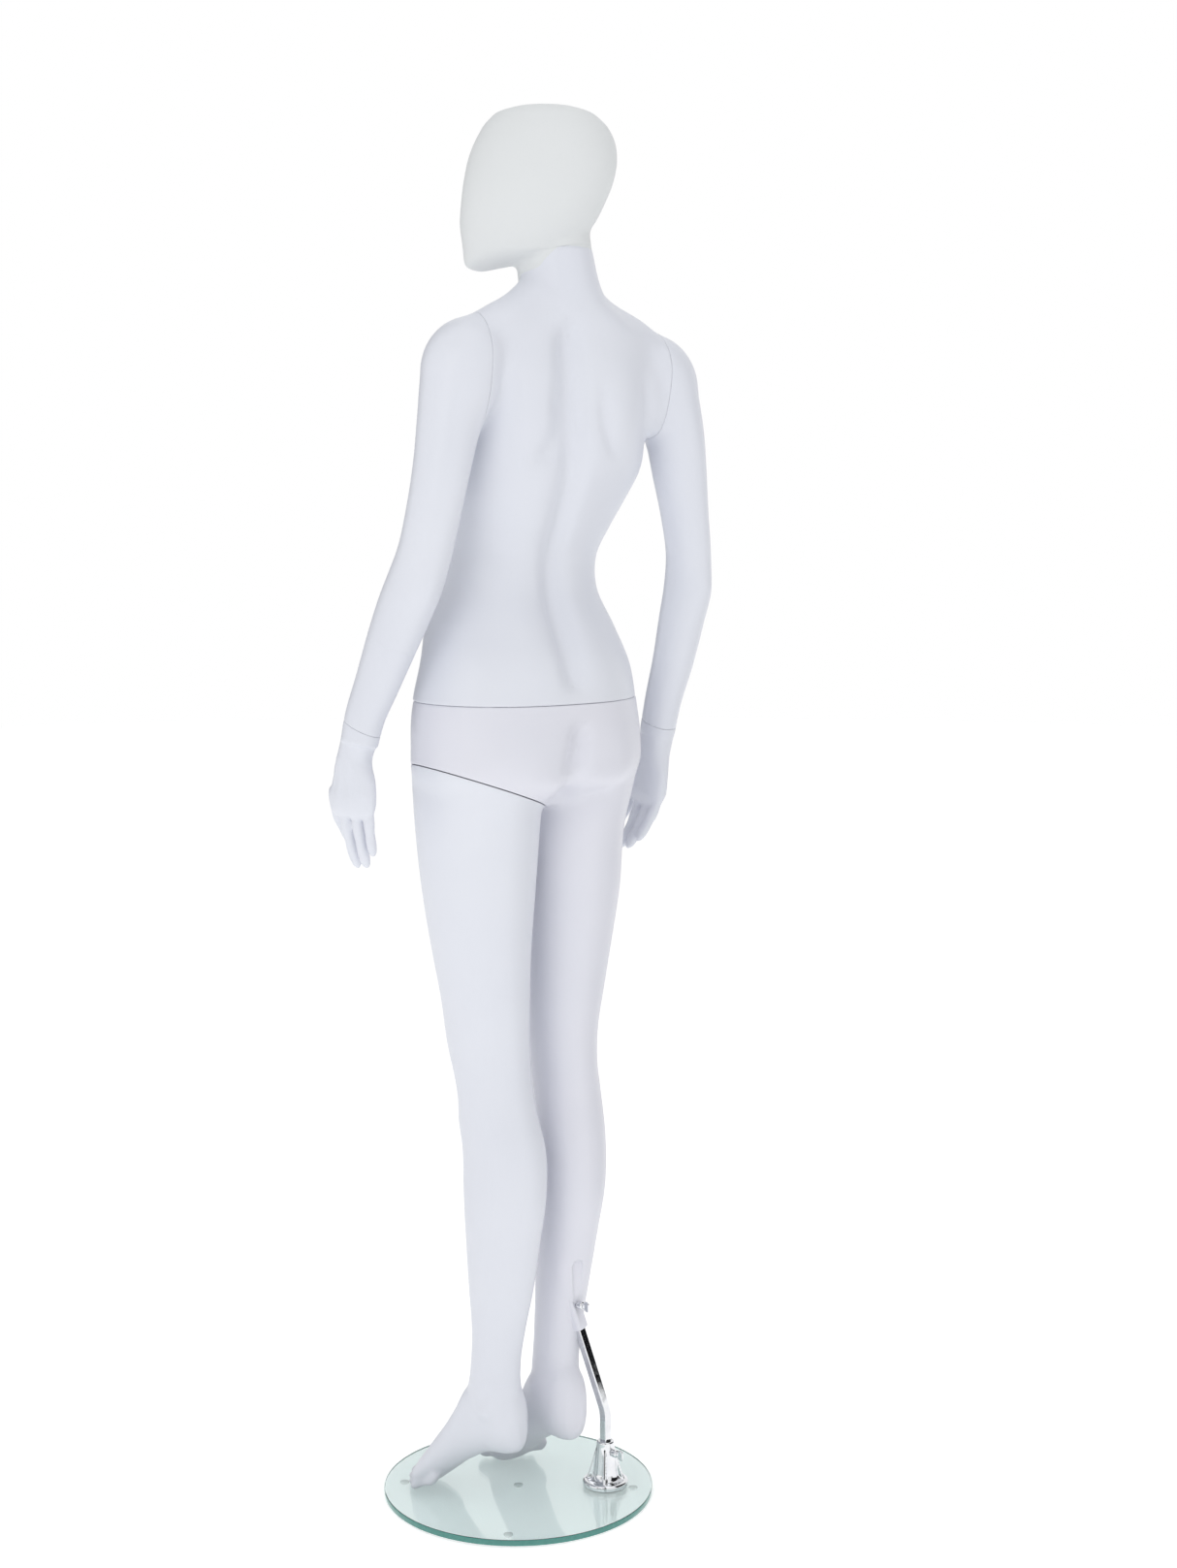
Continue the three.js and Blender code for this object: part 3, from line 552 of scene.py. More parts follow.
# ---- body skin ----
torsoRows = [
    [1000, 5, 27, 160, 106], [1040, 4, 25, 155, 104], [1088, 1, 23, 145, 98], [1136, -2, 8, 130, 90],
    [1184, -4, -6, 111, 84.5], [1222, -7, -7, 108, 84, -1], [1258, -11, 4, 114, 88, -3],
    [1294, -16, 14, 125, 93, -4], [1330, -23, 23, 131, 98, -6], [1378, -26, 30, 130, 98, -6],
    [1420, -26, 38, 134, 88, -6], [1450, -24, 47, 141, 75, -6], [1470, -25, 53, 138, 65, -6],
    [1484, -27, 56, 127, 59, -6], [1497, -28, 58, 109, 56, -6], [1512, -29, 60, 82, 54, -6],
    [1530, -25, 61, 56, 51, -6], [1552, -22, 60, 47, 48], [1592, -18, 54, 44, 46, 40],
]
pelvisRows = [
    [914, 8, 18, 98, 54], [930, 8, 24, 136, 84], [955, 6, 28, 157, 105], [985, 5, 28, 159, 107],
    [1040, 4, 25, 155, 104], [1065, 3, 26, 150, 101],
]
leftLegRows = [
    [112, 61, 24, 26, 34, 16], [160, 62, 27, 28.5, 36, 16], [203, 60, 28, 29, 33, 16],
    [240, 57, 29.5, 31, 35.5, 16], [290, 54, 31, 35, 43, 16], [356, 51, 32, 39, 50.5, 16],
    [419, 49, 34, 43, 56.5, 16], [476, 49, 33, 43.5, 56.5, 16], [532, 54, 26, 42, 51, 16],
    [562, 57, 22.5, 42, 51, 16], [607, 61, 18, 44, 55.5, 14], [670, 66, 18, 50, 59.5, 12],
    [732, 72, 18, 56, 66, 11], [800, 76, 18.5, 64, 74, 9], [880, 79, 20, 70, 83, 5],
    [930, 81, 23, 74, 88, 0], [985, 82, 26, 74, 96, 0],
]
rightLegRows = [
    [112, -40, 34, 26, 34, -16], [160, -38, 30, 29, 37, -16], [205, -41, 30, 29.5, 34, -16],
    [240, -44, 31, 31, 36, -16], [290, -49, 32, 34, 42, -16], [350, -54, 34, 38, 49, -16],
    [415, -58, 36, 43, 57, -16], [476, -60, 33.5, 44, 56, -16], [536, -60, 27, 42.5, 52, -16],
    [570, -58.5, 22, 42, 55, -15], [612, -58, 19, 44.5, 56.5, -13], [670, -61, 19, 51, 61, -12],
    [732, -64.5, 20, 57, 68, -11], [800, -66, 22, 64, 75, -8], [880, -65, 23, 68, 82, -5],
    [930, -68, 25, 72, 88, 0], [985, -70, 26, 76, 96, 0],
]
leftArmRows = [
    [88, 52, 1464, 38, 40], [102, 51, 1464, 46, 45], [119, 50, 1454, 48.5, 47], [131, 51, 1424, 45, 44.5],
    [144, 52, 1384, 38, 39], [156, 54, 1335, 33.5, 36.5], [166, 49, 1278, 31.5, 34.5],
    [174, 38, 1222, 31, 35], [180, 29, 1192, 31.5, 37], [187, 19, 1163, 31, 37], [198, 6, 1120, 28.5, 34],
    [211, -6, 1072, 25.5, 29], [222, -15, 1034, 23.5, 25.5], [229, -19, 1000, 22, 24],
]
rightArmRows = [
    [-136, 76, 1449, 38, 40], [-150, 77, 1449, 46, 45], [-166, 79, 1437, 48.5, 47], [-178, 83, 1404, 43, 43.5],
    [-189, 86, 1370, 37, 40], [-201, 85, 1318, 33, 36], [-211, 84.5, 1265, 29, 32], [-220, 82, 1217, 27, 31],
    [-223, 77, 1172, 27.5, 33], [-219, 70, 1130, 27, 31], [-213, 62, 1080, 25, 28], [-206, 51, 1028, 22.5, 25],
    [-204, 42, 985, 21.5, 24],
]
# each seam has a plane, and how wide and deep its rounded lips are
seams = {
    "waist": seamAt((5, 25, 1044), (-0.018, 0, 1), 0.65),
    "hip": seamAt((80, 24, 941), (-0.36, 0.06, 1), 0.75),
    "neck": seamAt((-18, 55, 1583), (0.08, -0.24, 1), 0.35),
    "leftWrist": seamAt((225.2, -16.7, 1019), (-0.27, 0.37, 1), 0.3),
    "rightWrist": seamAt((-205.5, 43.8, 999), (-0.02, 0.35, 1), 0.3),
    "leftShoulder": seamAt((108, 50.1, 1456.1), (0.9927, -0.1043, 0.061), 0.25),
    "rightShoulder": seamAt((-156, 77.9, 1439.9), (-0.9927, 0.1043, -0.061), 0.25),
}
crotchX = 4

bodySwell = [
    [72, 108, 1405, 40, 60, 56, 8], [-70, 120, 1402, 38, 60, 60, 8],          # shoulder blades
    [60, 92, 1125, 34, 60, 60, 5], [-38, 100, 1120, 32, 60, 60, 5],          # small of the back
    [-60, 116, 975, 50, 60, 44, 11], [82, 104, 980, 50, 60, 46, 10],         # buttocks
    [60, 66, 1498, 34, 40, 20, 4], [-104, 78, 1490, 34, 40, 20, 4],          # trapezius
    [-10, -98, 1120, 9, 22, 10, -6],                                         # navel
    [-6, -86, 1060, 60, 50, 50, 3],                                          # belly
    [68, -22, 512, 22, 30, 26, 5], [-75, -20, 514, 22, 30, 26, 5],           # kneecaps
    [86, 34, 140, 10, 12, 12, 4.5], [36, 20, 147, 10, 12, 12, 4.5],          # left ankle
    [-64, 42, 140, 10, 12, 12, 4.5], [-12, 22, 147, 10, 12, 12, 4.5],        # right ankle
    [-20, 62, 306, 14, 14, 22, 2.5],                                         # over the rod socket
    [184, 64, 1188, 16, 18, 20, 3], [-222, 108, 1170, 16, 18, 20, 3],        # elbows
]
bodyLines = [
    {"line": [[4, 109, 1520], [9, 119, 1434], [9, 123, 1377], [6, 118, 1339], [4, 99, 1281], [5, 80, 1202],
              [9, 94, 1144], [10, 121, 1087], [10, 128, 1043]], "width": 17, "height": -12, "fade": 0.1},
    {"line": [[4, 109, 1520], [12, 119, 1434], [12, 123, 1377], [9, 118, 1330], [6, 100, 1285]],
     "width": 26, "height": -6, "fade": 0.3},
    {"line": [[9, 132, 1030], [9, 132, 1008], [14, 134, 988], [18, 133, 968]], "width": 14, "height": -13,
     "fade": 0.5},
    {"line": [[13, 136, 996], [18, 132, 968], [15, 118, 946], [9, 98, 928], [5, 76, 916]],
     "width": 15, "height": -15, "fade": 0.25},
    {"line": [[24, 124, 932], [-3, 122, 928], [-42, 114, 923], [-80, 106, 926]], "width": 16, "height": -4,
     "fade": 0.45},
    {"line": [[24, 120, 1440], [25, 122, 1372], [38, 116, 1346], [74, 100, 1334]], "width": 16, "height": -8,
     "fade": 0.3},
    {"line": [[-34, 128, 1440], [-38, 130, 1374], [-56, 122, 1346], [-84, 106, 1338]], "width": 11,
     "height": -5, "fade": 0.35},
    {"line": [[6, 6, 1497], [40, 2, 1494], [78, 14, 1492], [104, 30, 1490]], "width": 8, "height": 3.5},
    {"line": [[-50, 12, 1494], [-84, 16, 1488], [-118, 32, 1482], [-146, 52, 1478]], "width": 8, "height": 3.5},
    {"line": [[-14, -62, 1300], [-10, -84, 1240], [-8, -92, 1180], [-8, -92, 1130]], "width": 13, "height": -3},
]


# along a toe: share of its length, share of its radius, height above the sole
toeShape = [
    (-0.3, 0.9, 24), (0, 1, 12), (0.35, 0.88, 8), (0.6, 0.94, 4.5), (0.82, 0.98, 1.5),
    (0.94, 0.76, 0.5), (1, 0.3, 0),
]
toeFlat = 0.86                  # a toe's height as a share of its width


def footTubes(name, heel, splay, inner):
    # heel and instep, then five toes on the ball; inner is the side of the big toe along the foot's width
    along = np.array([sin(radians(splay)), -cos(radians(splay)), 0])
    side = np.array([cos(radians(splay)), sin(radians(splay)), 0])
    base = np.array([heel[0], heel[1], 10.5])
    rows = [
        [-28, 9, 86, 126], [-22, 19, 75, 150], [-8, 27, 70, 170], [20, 29, 67, 174], [48, 31, 52, 156],
        [64, 33, 41, 126], [76, 35, 31, 105], [96, 38, 15, 76], [108, 39, 6, 59], [118, 37, 1, 45],
        [125, 33, 3, 33],
    ]
    full = smoothRows([[ahead, sole, instep, half] for ahead, half, sole, instep in rows], 4)
    centres = base + along * full[:, :1] + np.array([0, 0, 1]) * (full[:, 1:3].mean(1))[:, None]
    count = len(full)
    halves = np.stack([full[:, 3], (full[:, 2] - full[:, 1]) / 2], 1)
    parts = [tube(name, centres, np.tile(side, (count, 1)), np.tile([0, 0, 1.0], (count, 1)), halves, 2.3)]
    toes = [
        [24, 104, 50, 11.5], [6.5, 106, 46, 8.5], [-7.5, 104, 41, 8], [-19.5, 100, 36, 7.6],
        [-29, 96, 31, 7.2],
    ]
    for across, start, length, radius in toes:
        path = []
        for share, size, lift in toeShape:
            spot = base + along * (start + share * length) + side * (inner * across * (1 + 0.06 * share))
            spot = spot + np.array([0, 0, 0.6 + radius * toeFlat + lift])
            path.append([*spot, radius * size, radius * size * toeFlat])
        parts.append(pathTube(name, path, side, 2, 24))
    return parts


# flesh that carries the trapezius and the back of the shoulder out to each arm
shoulderFills = [
    [[-30, 62, 1536, 30, 34], [-74, 68, 1497, 33, 38], [-118, 74, 1470, 34, 42], [-150, 78, 1452, 32, 42]],
    [[0, 58, 1536, 30, 34], [34, 60, 1505, 33, 38], [70, 58, 1482, 34, 42], [104, 52, 1466, 32, 42]],
    [[-112, 92, 1455, 20, 26], [-126, 98, 1430, 22, 28], [-132, 98, 1400, 20, 26], [-128, 92, 1372, 14, 20]],
]


def makeBody():
    torso = fuse("torsoSkin", [
        levelTube("torsoCore", torsoRows, 0.045, 2.15),
        egg("rightBreast", (-84, -40, 1336), (46, 40, 48)),
        egg("leftBreast", (38, -54, 1342), (46, 40, 48)),
        pathTube("leftArmCore", leftArmRows[::-1], (1, 0, 0)),
        pathTube("rightArmCore", rightArmRows[::-1], (1, 0, 0)),
        *(pathTube("shoulderFill", rows, (0, 1, 0)) for rows in shoulderFills),
    ], 3.6, 30, 34)
    sculpt(torso, bodySwell, bodyLines)
    return torso


cleftSoft = {"at": (8, 112, 945), "reach": (60, 60, 34), "rounds": 14}


def makeHips():
    hips = fuse("hipSkin", [
        levelTube("pelvisCore", pelvisRows, 0, 2.15),
        levelTube("leftLegCore", leftLegRows),
        levelTube("rightLegCore", rightLegRows),
    ], 3.6, 22, 20)
    sculpt(hips, bodySwell, bodyLines)
    off = (readPoints(hips.data) / mm - cleftSoft["at"]) / cleftSoft["reach"]
    relax(hips.data, np.exp(-(off**2).sum(1)), cleftSoft["rounds"])
    return hips


weld = {"ankle": 178, "band": 1.6, "reach": 14, "rounds": 30}


def addFoot(leg, foot, side):
    # welds a finer foot under the leg, across a narrow band that is then evened out
    ankle, band = weld["ankle"] * mm, weld["band"] * mm
    shape = bmesh.new()
    shape.from_mesh(leg.data)
    near = [face for face in shape.faces if (face.calc_center_median().x - crotchX * mm) * side > 0
            and face.calc_center_median().z < 0.4]
    verts = {vert for face in near for vert in face.verts}
    edges = {edge for face in near for edge in face.edges}
    bmesh.ops.bisect_plane(
        shape, geom=[*verts, *edges, *near], dist=1e-6, plane_co=(0, 0, ankle + band), plane_no=(0, 0, 1),
        clear_inner=True,
    )
    lowerShape = bmesh.new()
    lowerShape.from_mesh(foot.data)
    bmesh.ops.bisect_plane(
        lowerShape, geom=[*lowerShape.verts, *lowerShape.edges, *lowerShape.faces], dist=1e-6,
        plane_co=(0, 0, ankle - band), plane_no=(0, 0, 1), clear_outer=True,
    )
    piece = bpy.data.meshes.new("footHalf")
    lowerShape.to_mesh(piece)
    lowerShape.free()
    shape.from_mesh(piece)
    rims = [edge for edge in shape.edges if edge.is_boundary]
    bmesh.ops.bridge_loops(shape, edges=rims)
    bmesh.ops.triangulate(shape, faces=[face for face in shape.faces if len(face.verts) > 4])
    bmesh.ops.recalc_face_normals(shape, faces=shape.faces)
    shape.to_mesh(leg.data)
    shape.free()
    bpy.data.objects.remove(foot)
    points = readPoints(leg.data)
    high = np.abs(points[:, 2] - ankle) / mm
    weight = np.where((points[:, 0] - crotchX * mm) * side > 0, np.clip(1 - high / weld["reach"], 0, 1), 0)
    relax(leg.data, weight, weld["rounds"])


def nearest(shells, at):
    return min(shells, key=lambda shell: np.linalg.norm(middle(shell) - at))


def keepOnly(shells, names):
    # names the shells by where they are and drops the offcuts
    kept = {name: nearest(shells, at) for name, at in names.items()}
    for shell in shells:
        if shell not in kept.values():
            bpy.data.objects.remove(shell)
    for name, shell in kept.items():
        shell.name = shell.data.name = name
    return kept


upper = makeBody()
print("torso and arms fused")


def isLeftShoulder(spot):
    return spot.x > 0.06 and spot.z > 1.345


def isRightShoulder(spot):
    return spot.x < -0.11 and spot.z > 1.33


def isLeftArm(spot):
    return spot.x > 0.17


def isRightArm(spot):
    return spot.x < -0.165


def isTrunk(spot):
    return -0.16 < spot.x < 0.168 and spot.z < 1.1


def isNeck(spot):
    return spot.z > 1.5


def anywhere(spot):
    return True


part(upper, seams["leftShoulder"], isLeftShoulder)
part(upper, seams["rightShoulder"], isRightShoulder)
part(upper, seams["leftWrist"], isLeftArm)
part(upper, seams["rightWrist"], isRightArm)
part(upper, seams["waist"], isTrunk)
part(upper, seams["neck"], isNeck)
body = keepOnly(splitLoose(upper), {
    "torsoShell": (-13, 25, 1291), "leftArmShell": (169, 33, 1266), "rightArmShell": (-202, 76, 1260),
})
print("torso and arms cut at their seams")

lower = makeHips()
for name, heel, splay, inner, side in [
    ("leftFoot", (55, 39), 16, -1, 1), ("rightFoot", (-32, 55.5), -5, 1, -1),
]:
    rows = leftLegRows if side > 0 else rightLegRows
    tubes = [*footTubes(name, heel, splay, inner), levelTube("shin", rows[:6], step=4)]
    foot = fuse(f"{name}Skin", tubes, 1.7, 12, 34, 3)
    sculpt(foot, bodySwell)
    addFoot(lower, foot, side)
print("hips, legs and feet fused")

part(lower, seams["waist"], anywhere)
lower = keepOnly(splitLoose(lower), {"hipShell": (6, 26, 659)})["hipShell"]


def hipWedge(grow):
    # everything under the hip seam on the figure's left, as one closed prism
    normal = seams["hip"]["normal"]
    at = seams["hip"]["at"] - normal * (-grow) * mm
    inner, outer = (crotchX - grow) * mm, 0.3
    points = []
    for y in (-0.4, 0.4):
        low, high = [
            (at.z - ((x - at.x) * normal.x + (y - at.y) * normal.y) / normal.z) for x in (inner, outer)
        ]
        points += [(inner, y, -0.05), (outer, y, -0.05), (outer, y, high), (inner, y, low)]
    faces = [(0, 1, 2, 3), (7, 6, 5, 4), (0, 4, 5, 1), (1, 5, 6, 2), (2, 6, 7, 3), (3, 7, 4, 0)]
    made = makeObject("hipWedge", points, faces)
    outwards(made.data)
    return made


shape = bmesh.new()
shape.from_mesh(lower.data)
bmesh.ops.triangulate(shape, faces=[face for face in shape.faces if len(face.verts) > 4])
roundLips(shape, seams["hip"], lambda spot: spot.x > crotchX * mm - 0.0005)
shape.to_mesh(lower.data)
shape.free()
leftWedge, rightWedge = hipWedge(-lip["gap"]), hipWedge(lip["gap"])
body["leftLegShell"] = carve(lower, leftWedge, "INTERSECT", "leftLegShell")
body["hipShell"] = carve(lower, rightWedge, "DIFFERENCE", "pelvisRightLegShell")
for extra in (leftWedge, rightWedge, lower):
    bpy.data.objects.remove(extra)
print("legs cut at the hip seam")


# ---- calf recess, boss, rod, flange and screws ----
rod = {
    "foot": (-80, 81, 25.5), "bend": (-80, 81, 110), "entry": (-48.5, 64, 229), "inside": 74, "turn": 22,
    "side": 11, "corner": (-0.766, 0.643, 0), "edge": 9,
}
lean = Vector(rod["entry"]) - Vector(rod["bend"])
lean.normalize()
clampOut = Vector(rod["corner"])
clampOut.rotate(Matrix.Rotation(radians(-45), 3, "Z"))


def squareTube(name, line, side, edge):
    # a square bar with rounded edges along a line, kept square to the corner direction
    points = np.array(line, float)
    along = np.gradient(points, axis=0)
    along /= np.linalg.norm(along, axis=1)[:, None]
    back = np.cross(along, np.array(clampOut))
    back /= np.linalg.norm(back, axis=1)[:, None]
    halves = np.full((len(points), 2), side / 2)
    return tube(name, points, np.cross(back, along), back, halves, edge, 72)


def onRod(distance):
    return np.array(Vector(rod["entry"]) + lean * distance)


def lathe(name, profile, at, direction, sides=48):
    # profile of [radius, height] turned about a direction
    place = Vector(direction).to_track_quat("Z", "X").to_matrix().to_4x4()
    place.translation = Vector(at) * mm
    return linkShape(name, spun(profile, sides, place))


def addShell(target, extra):
    # puts another closed shell into the same mesh
    shape = bmesh.new()
    shape.from_mesh(target.data)
    shape.from_mesh(extra.data)
    shape.to_mesh(target.data)
    shape.free()
    bpy.data.objects.remove(extra)


recess = levelTube("recess", [
    [258, -40, 76, 7.5, 6.5, -23], [300, -38, 76, 7.5, 5.5, -23], [313, -37, 76, 7.2, 5, -23],
    [319, -37, 76, 5.6, 4, -23], [322, -37, 76, 2.5, 2, -23],
], square=3, step=2)
hips = body["hipShell"]
body["hipShell"] = carve(hips, recess, "DIFFERENCE", "pelvisRightLeg")
for extra in (recess, hips):
    bpy.data.objects.remove(extra)
bossEnds = [(-3, 17), (-2.4, 18.4), (-1.2, 19.2), (1, 19.4), (40, 19.4), (42.5, 19), (44, 17.6)]
boss = squareTube("boss", [onRod(distance) for distance, width in bossEnds], 1, 4)
points = readPoints(boss.data).reshape(len(bossEnds), -1, 3)
for ring, (distance, width) in enumerate(bossEnds):
    centre = onRod(distance) * mm
    points[ring] = centre + (points[ring] - centre) * width
writePoints(boss.data, points.reshape(-1, 3))
bossBore = squareTube("bossBore", [onRod(distance) for distance in (-8, 50)], 16.3, 24)
bossHole = lathe("bossHole", [(0, 0), (4.6, 0), (4.6, 30), (0, 30)], onRod(34), clampOut, 32)
for tool in (bossBore, bossHole):
    shell = boss
    boss = carve(shell, tool, "DIFFERENCE", "boss")
    for extra in (shell, tool):
        bpy.data.objects.remove(extra)
addShell(body["hipShell"], boss)
print("calf boss and recess made")


def makeRod():
    foot, bend, entry = (np.array(rod[key], float) for key in ("foot", "bend", "entry"))
    before, after = bend - (0, 0, rod["turn"] / 2), bend + np.array(lean) * rod["turn"] / 2
    share = np.linspace(0, 1, 12)[:, None]
    curve = before * (1 - share) ** 2 + bend * 2 * share * (1 - share) + after * share**2
    low = np.linspace(foot, before, 8)[:-1]
    high = np.linspace(after, onRod(rod["inside"]), 14)[1:]
    return squareTube("calfRodBar", [*low, *curve, *high], rod["side"], rod["edge"])


flangeLook = {"foot": 11.5, "height": 60, "ribs": 4, "bore": 11.8}


def makeFlange():
    x, y = rod["foot"][:2]
    base = (x, y, flangeLook["foot"])
    parts = [lathe("flangeCone", [
        (0, 0), (28.6, 0), (29.5, 0.9), (29.5, 5.4), (29.1, 6.6), (28, 7.6), (26.5, 8), (22, 8.2), (18.5, 9.2),
        (16.4, 12), (15.2, 17), (11.6, 54), (11.6, 58.4), (11, 59.5), (10, 60), (0, 60),
    ], base, (0, 0, 1), 96)]
    for index in range(flangeLook["ribs"]):
        angle = (index + 0.5) / flangeLook["ribs"] * 2 * np.pi
        out = np.array([np.cos(angle), np.sin(angle), 0])
        across = np.array([-np.sin(angle), np.cos(angle), 0])
        rows = [[7, 25.5], [10, 24.5], [14, 22.4], [30, 17.6], [45, 13.8], [53, 11.2]]
        centres = np.array([np.array(base) + out * reach / 2 + (0, 0, up) for up, reach in rows])
        halves = np.array([[reach / 2, 2.2] for up, reach in rows])
        parts.append(tube("rib", centres, np.tile(out, (6, 1)), np.tile(across, (6, 1)), halves, 6, 48))
    skin = fuse("flangeSkin", parts, 0.8, 2.4, 10, 2)
    bore = squareTube("bore", [(x, y, 24.6), (x, y, 90)], flangeLook["bore"], 24)
    hole = lathe("hole", [(0, 0), (3.5, 0), (3.5, 40), (0, 40)], (x, y, 57.5), clampOut, 32)
    boltRoom = lathe("boltRoom", [(0, -5), (4.4, -5), (4.4, 10), (0, 10)], base, (0, 0, 1), 32)
    for tool in (bore, hole, boltRoom):
        shell = skin
        skin = carve(shell, tool, "DIFFERENCE", "flangeCasting")
        for extra in (shell, tool):
            bpy.data.objects.remove(extra)
    return skin


def makeScrew(name, at, collar):
    # shank, knurled collar and a flat winged grip, all round the same axis
    shank = lathe(name, [
        (0, 7.1), (2.6, 7.1), (3, 7.6), (3, collar), (4.6, collar), (5, collar + 0.5), (5, collar + 6.4),
        (4.6, collar + 7), (3, collar + 7.4), (3, collar + 10), (0, collar + 10),
    ], at, clampOut, 40)
    out = np.array(clampOut)
    across = np.array([out[1], -out[0], 0])
    rows = [[7.5, 3], [9, 4.6], [11, 6.2], [13, 7], [15, 7], [16.6, 6.2], [17.4, 4.4]]
    centres = np.array([np.array(at) + out * (collar + along) for along, wide in rows])
    halves = np.array([[wide, 1.3] for along, wide in rows])
    wing = tube("wing", centres, np.tile((0, 0, 1.0), (7, 1)), np.tile(across, (7, 1)), halves, 3, 40)
    return fuse(name, [shank, wing], 0.45, 1.2, 6, 2)


metalWork = [
    (makeRod(), "calf_rod", "rod", "chrome"), (makeFlange(), "flange", "base", "chrome"),
    (makeScrew("calfClampScrew", onRod(34), 13.5), "calf_clamp_screw", "calf_screw", "chrome"),
    (makeScrew("flangeScrew", (*rod["foot"][:2], 57.5), 13), "flange_screw", "flange_screw", "chrome"),
]
print("metal work made")


# ---- hands ----
palmRows = [[-8, 22.5, 22], [20, 22.5, 19.5], [40, 23.5, 17.5], [64, 32, 15], [84, 36, 13.5], [96, 36.5, 12],
            [104, 33, 9], [109, 25, 5]]
fingerShape = [(-0.2, 0.92), (0, 1), (0.2, 0.95), (0.42, 1), (0.58, 0.87), (0.75, 0.9), (0.88, 0.8), (0.96, 0.56),
               (1, 0.2)]
leftHandPlan = {
    "root": (225.2, -16.7, 1019), "down": (0.06, 0.02, -1), "thumbward": (0.14, -0.99, 0),
    "outward": (0.99, 0.14, 0.06), "sway": [0, 7, 13, 12, 13, 14, 14, 14], "arm": leftArmRows[-4:],
    "fingers": [
        {"from": (84, -13), "to": (155, -9, -15), "size": 7.2},
        {"from": (88, 6.5), "to": (171, 7, -21), "size": 8.1},
        {"from": (89, 26), "to": (173, 26, -25), "size": 8.4},
        {"from": (86, 44), "to": (150, 42, -36), "size": 8.2},
    ],
    "thumb": [[34, 30, -6, 12.5], [56, 42, -12, 13], [78, 50, -18, 11], [98, 54, -24, 10], [113, 55, -29, 8.2],
              [119, 55, -31, 3]],
}
rightHandPlan = {
    "root": (-205.5, 43.8, 999), "down": (0.1, -0.13, -1), "thumbward": (-0.14, -0.99, 0.11),
    "outward": (-0.99, 0.14, -0.1), "sway": [0, 0, 0, 1, 2, 3, 4, 4], "arm": rightArmRows[-4:],
    "fingers": [
        {"from": (92, -26), "to": (154, -20, -18), "size": 7.2},
        {"from": (97, -8), "to": (167, -6, -22), "size": 8.1},
        {"from": (98, 10.5), "to": (170, 9, -22), "size": 8.4},
        {"from": (94, 29), "to": (162, 40, -20), "size": 8.2},
    ],
    "thumb": [[40, 20, -8, 12.5], [62, 33, -14, 13], [84, 43, -20, 11], [104, 48, -26, 10], [119, 50, -30, 8.2],
              [125, 50, -32, 3]],
}


def makeHand(name, plan, seam):
    root, thumbward = np.array(plan["root"]), np.array(plan["thumbward"])
    down, outward = np.array(plan["down"]), np.array(plan["outward"])
    down = down / np.linalg.norm(down)

    def spot(depth, across, out):
        return root + down * depth + thumbward * across + outward * out

    palm = smoothRows([
        [depth, sway, 0, wide, thick] for (depth, wide, thick), sway in zip(palmRows, plan["sway"])
    ], 3)
    count = len(palm)
    parts = [
        tube("palm", np.array([spot(depth, sway, 0) for depth, sway, *_ in palm]), np.tile(thumbward, (count, 1)),
             np.tile(outward, (count, 1)), palm[:, 3:5], 2.3),
        pathTube("wrist", plan["arm"], (1, 0, 0), 3),
    ]
    for finger in plan["fingers"]:
        start, across = finger["from"]
        reach, tipAcross, curl = finger["to"]
        path = []
        for share, size in fingerShape:
            bend = max(share, 0)
            place = spot(start + (reach - start) * share, across + (tipAcross - across) * bend, curl * bend**1.7)
            path.append([*place, finger["size"] * size, finger["size"] * size * 0.94])
        parts.append(pathTube("finger", path, thumbward, 2, 24))
    thumb = [[*spot(*row[:3]), row[3], row[3] * 0.9] for row in plan["thumb"]]
    parts.append(pathTube("thumb", thumb, thumbward, 2, 24))
    skin = fuse(f"{name}Skin", parts, 1.5, 7, 16, 3)
    knuckles = [[*spot(finger["from"][0] - 4, finger["from"][1], 11), 8, 8, 9, 1.6] for finger in plan["fingers"]]
    tendons = [
        {"line": [
            spot(30, plan["sway"][2] + 0.3 * finger["from"][1], 16),
            spot(60, 0.7 * finger["from"][1] + 3, 14),
            spot(finger["from"][0] - 6, finger["from"][1], 12),
        ], "width": 4.5, "height": 1.0}
        for finger in plan["fingers"]
    ]
    sculpt(skin, knuckles, tendons)
    part(skin, seam, anywhere)
    return keepOnly(splitLoose(skin), {f"{name}Shell": spot(90, 5, -5)})[f"{name}Shell"]


body["leftHandShell"] = makeHand("leftHand", leftHandPlan, seams["leftWrist"])
body["rightHandShell"] = makeHand("rightHand", rightHandPlan, seams["rightWrist"])
print("hands made")


# ---- head ----
headRows = [
    [1563, 77, 4, 4], [1565, 76, 12, 11], [1567.5, 73, 21, 19], [1573, 61, 36, 34], [1583, 36, 62, 51],
    [1597, 30, 69.5, 59], [1616, 22, 80, 66], [1642, 14, 86.5, 73], [1672, 6, 90.5, 76.5], [1700, 1, 89, 75],
    [1724, -1.5, 80.5, 69], [1741, -1, 68, 58], [1754, 0, 46, 40], [1759, 0, 22, 19], [1760.5, 0, 6, 5],
]
collarRows = [[1540, -20, 58, 45, 47, 20], [1592, -18, 54, 44, 46, 40], [1625, -16, 51, 42, 44, 40]]
headLook3d = {"turn": 46, "axis": (-9, 47)}


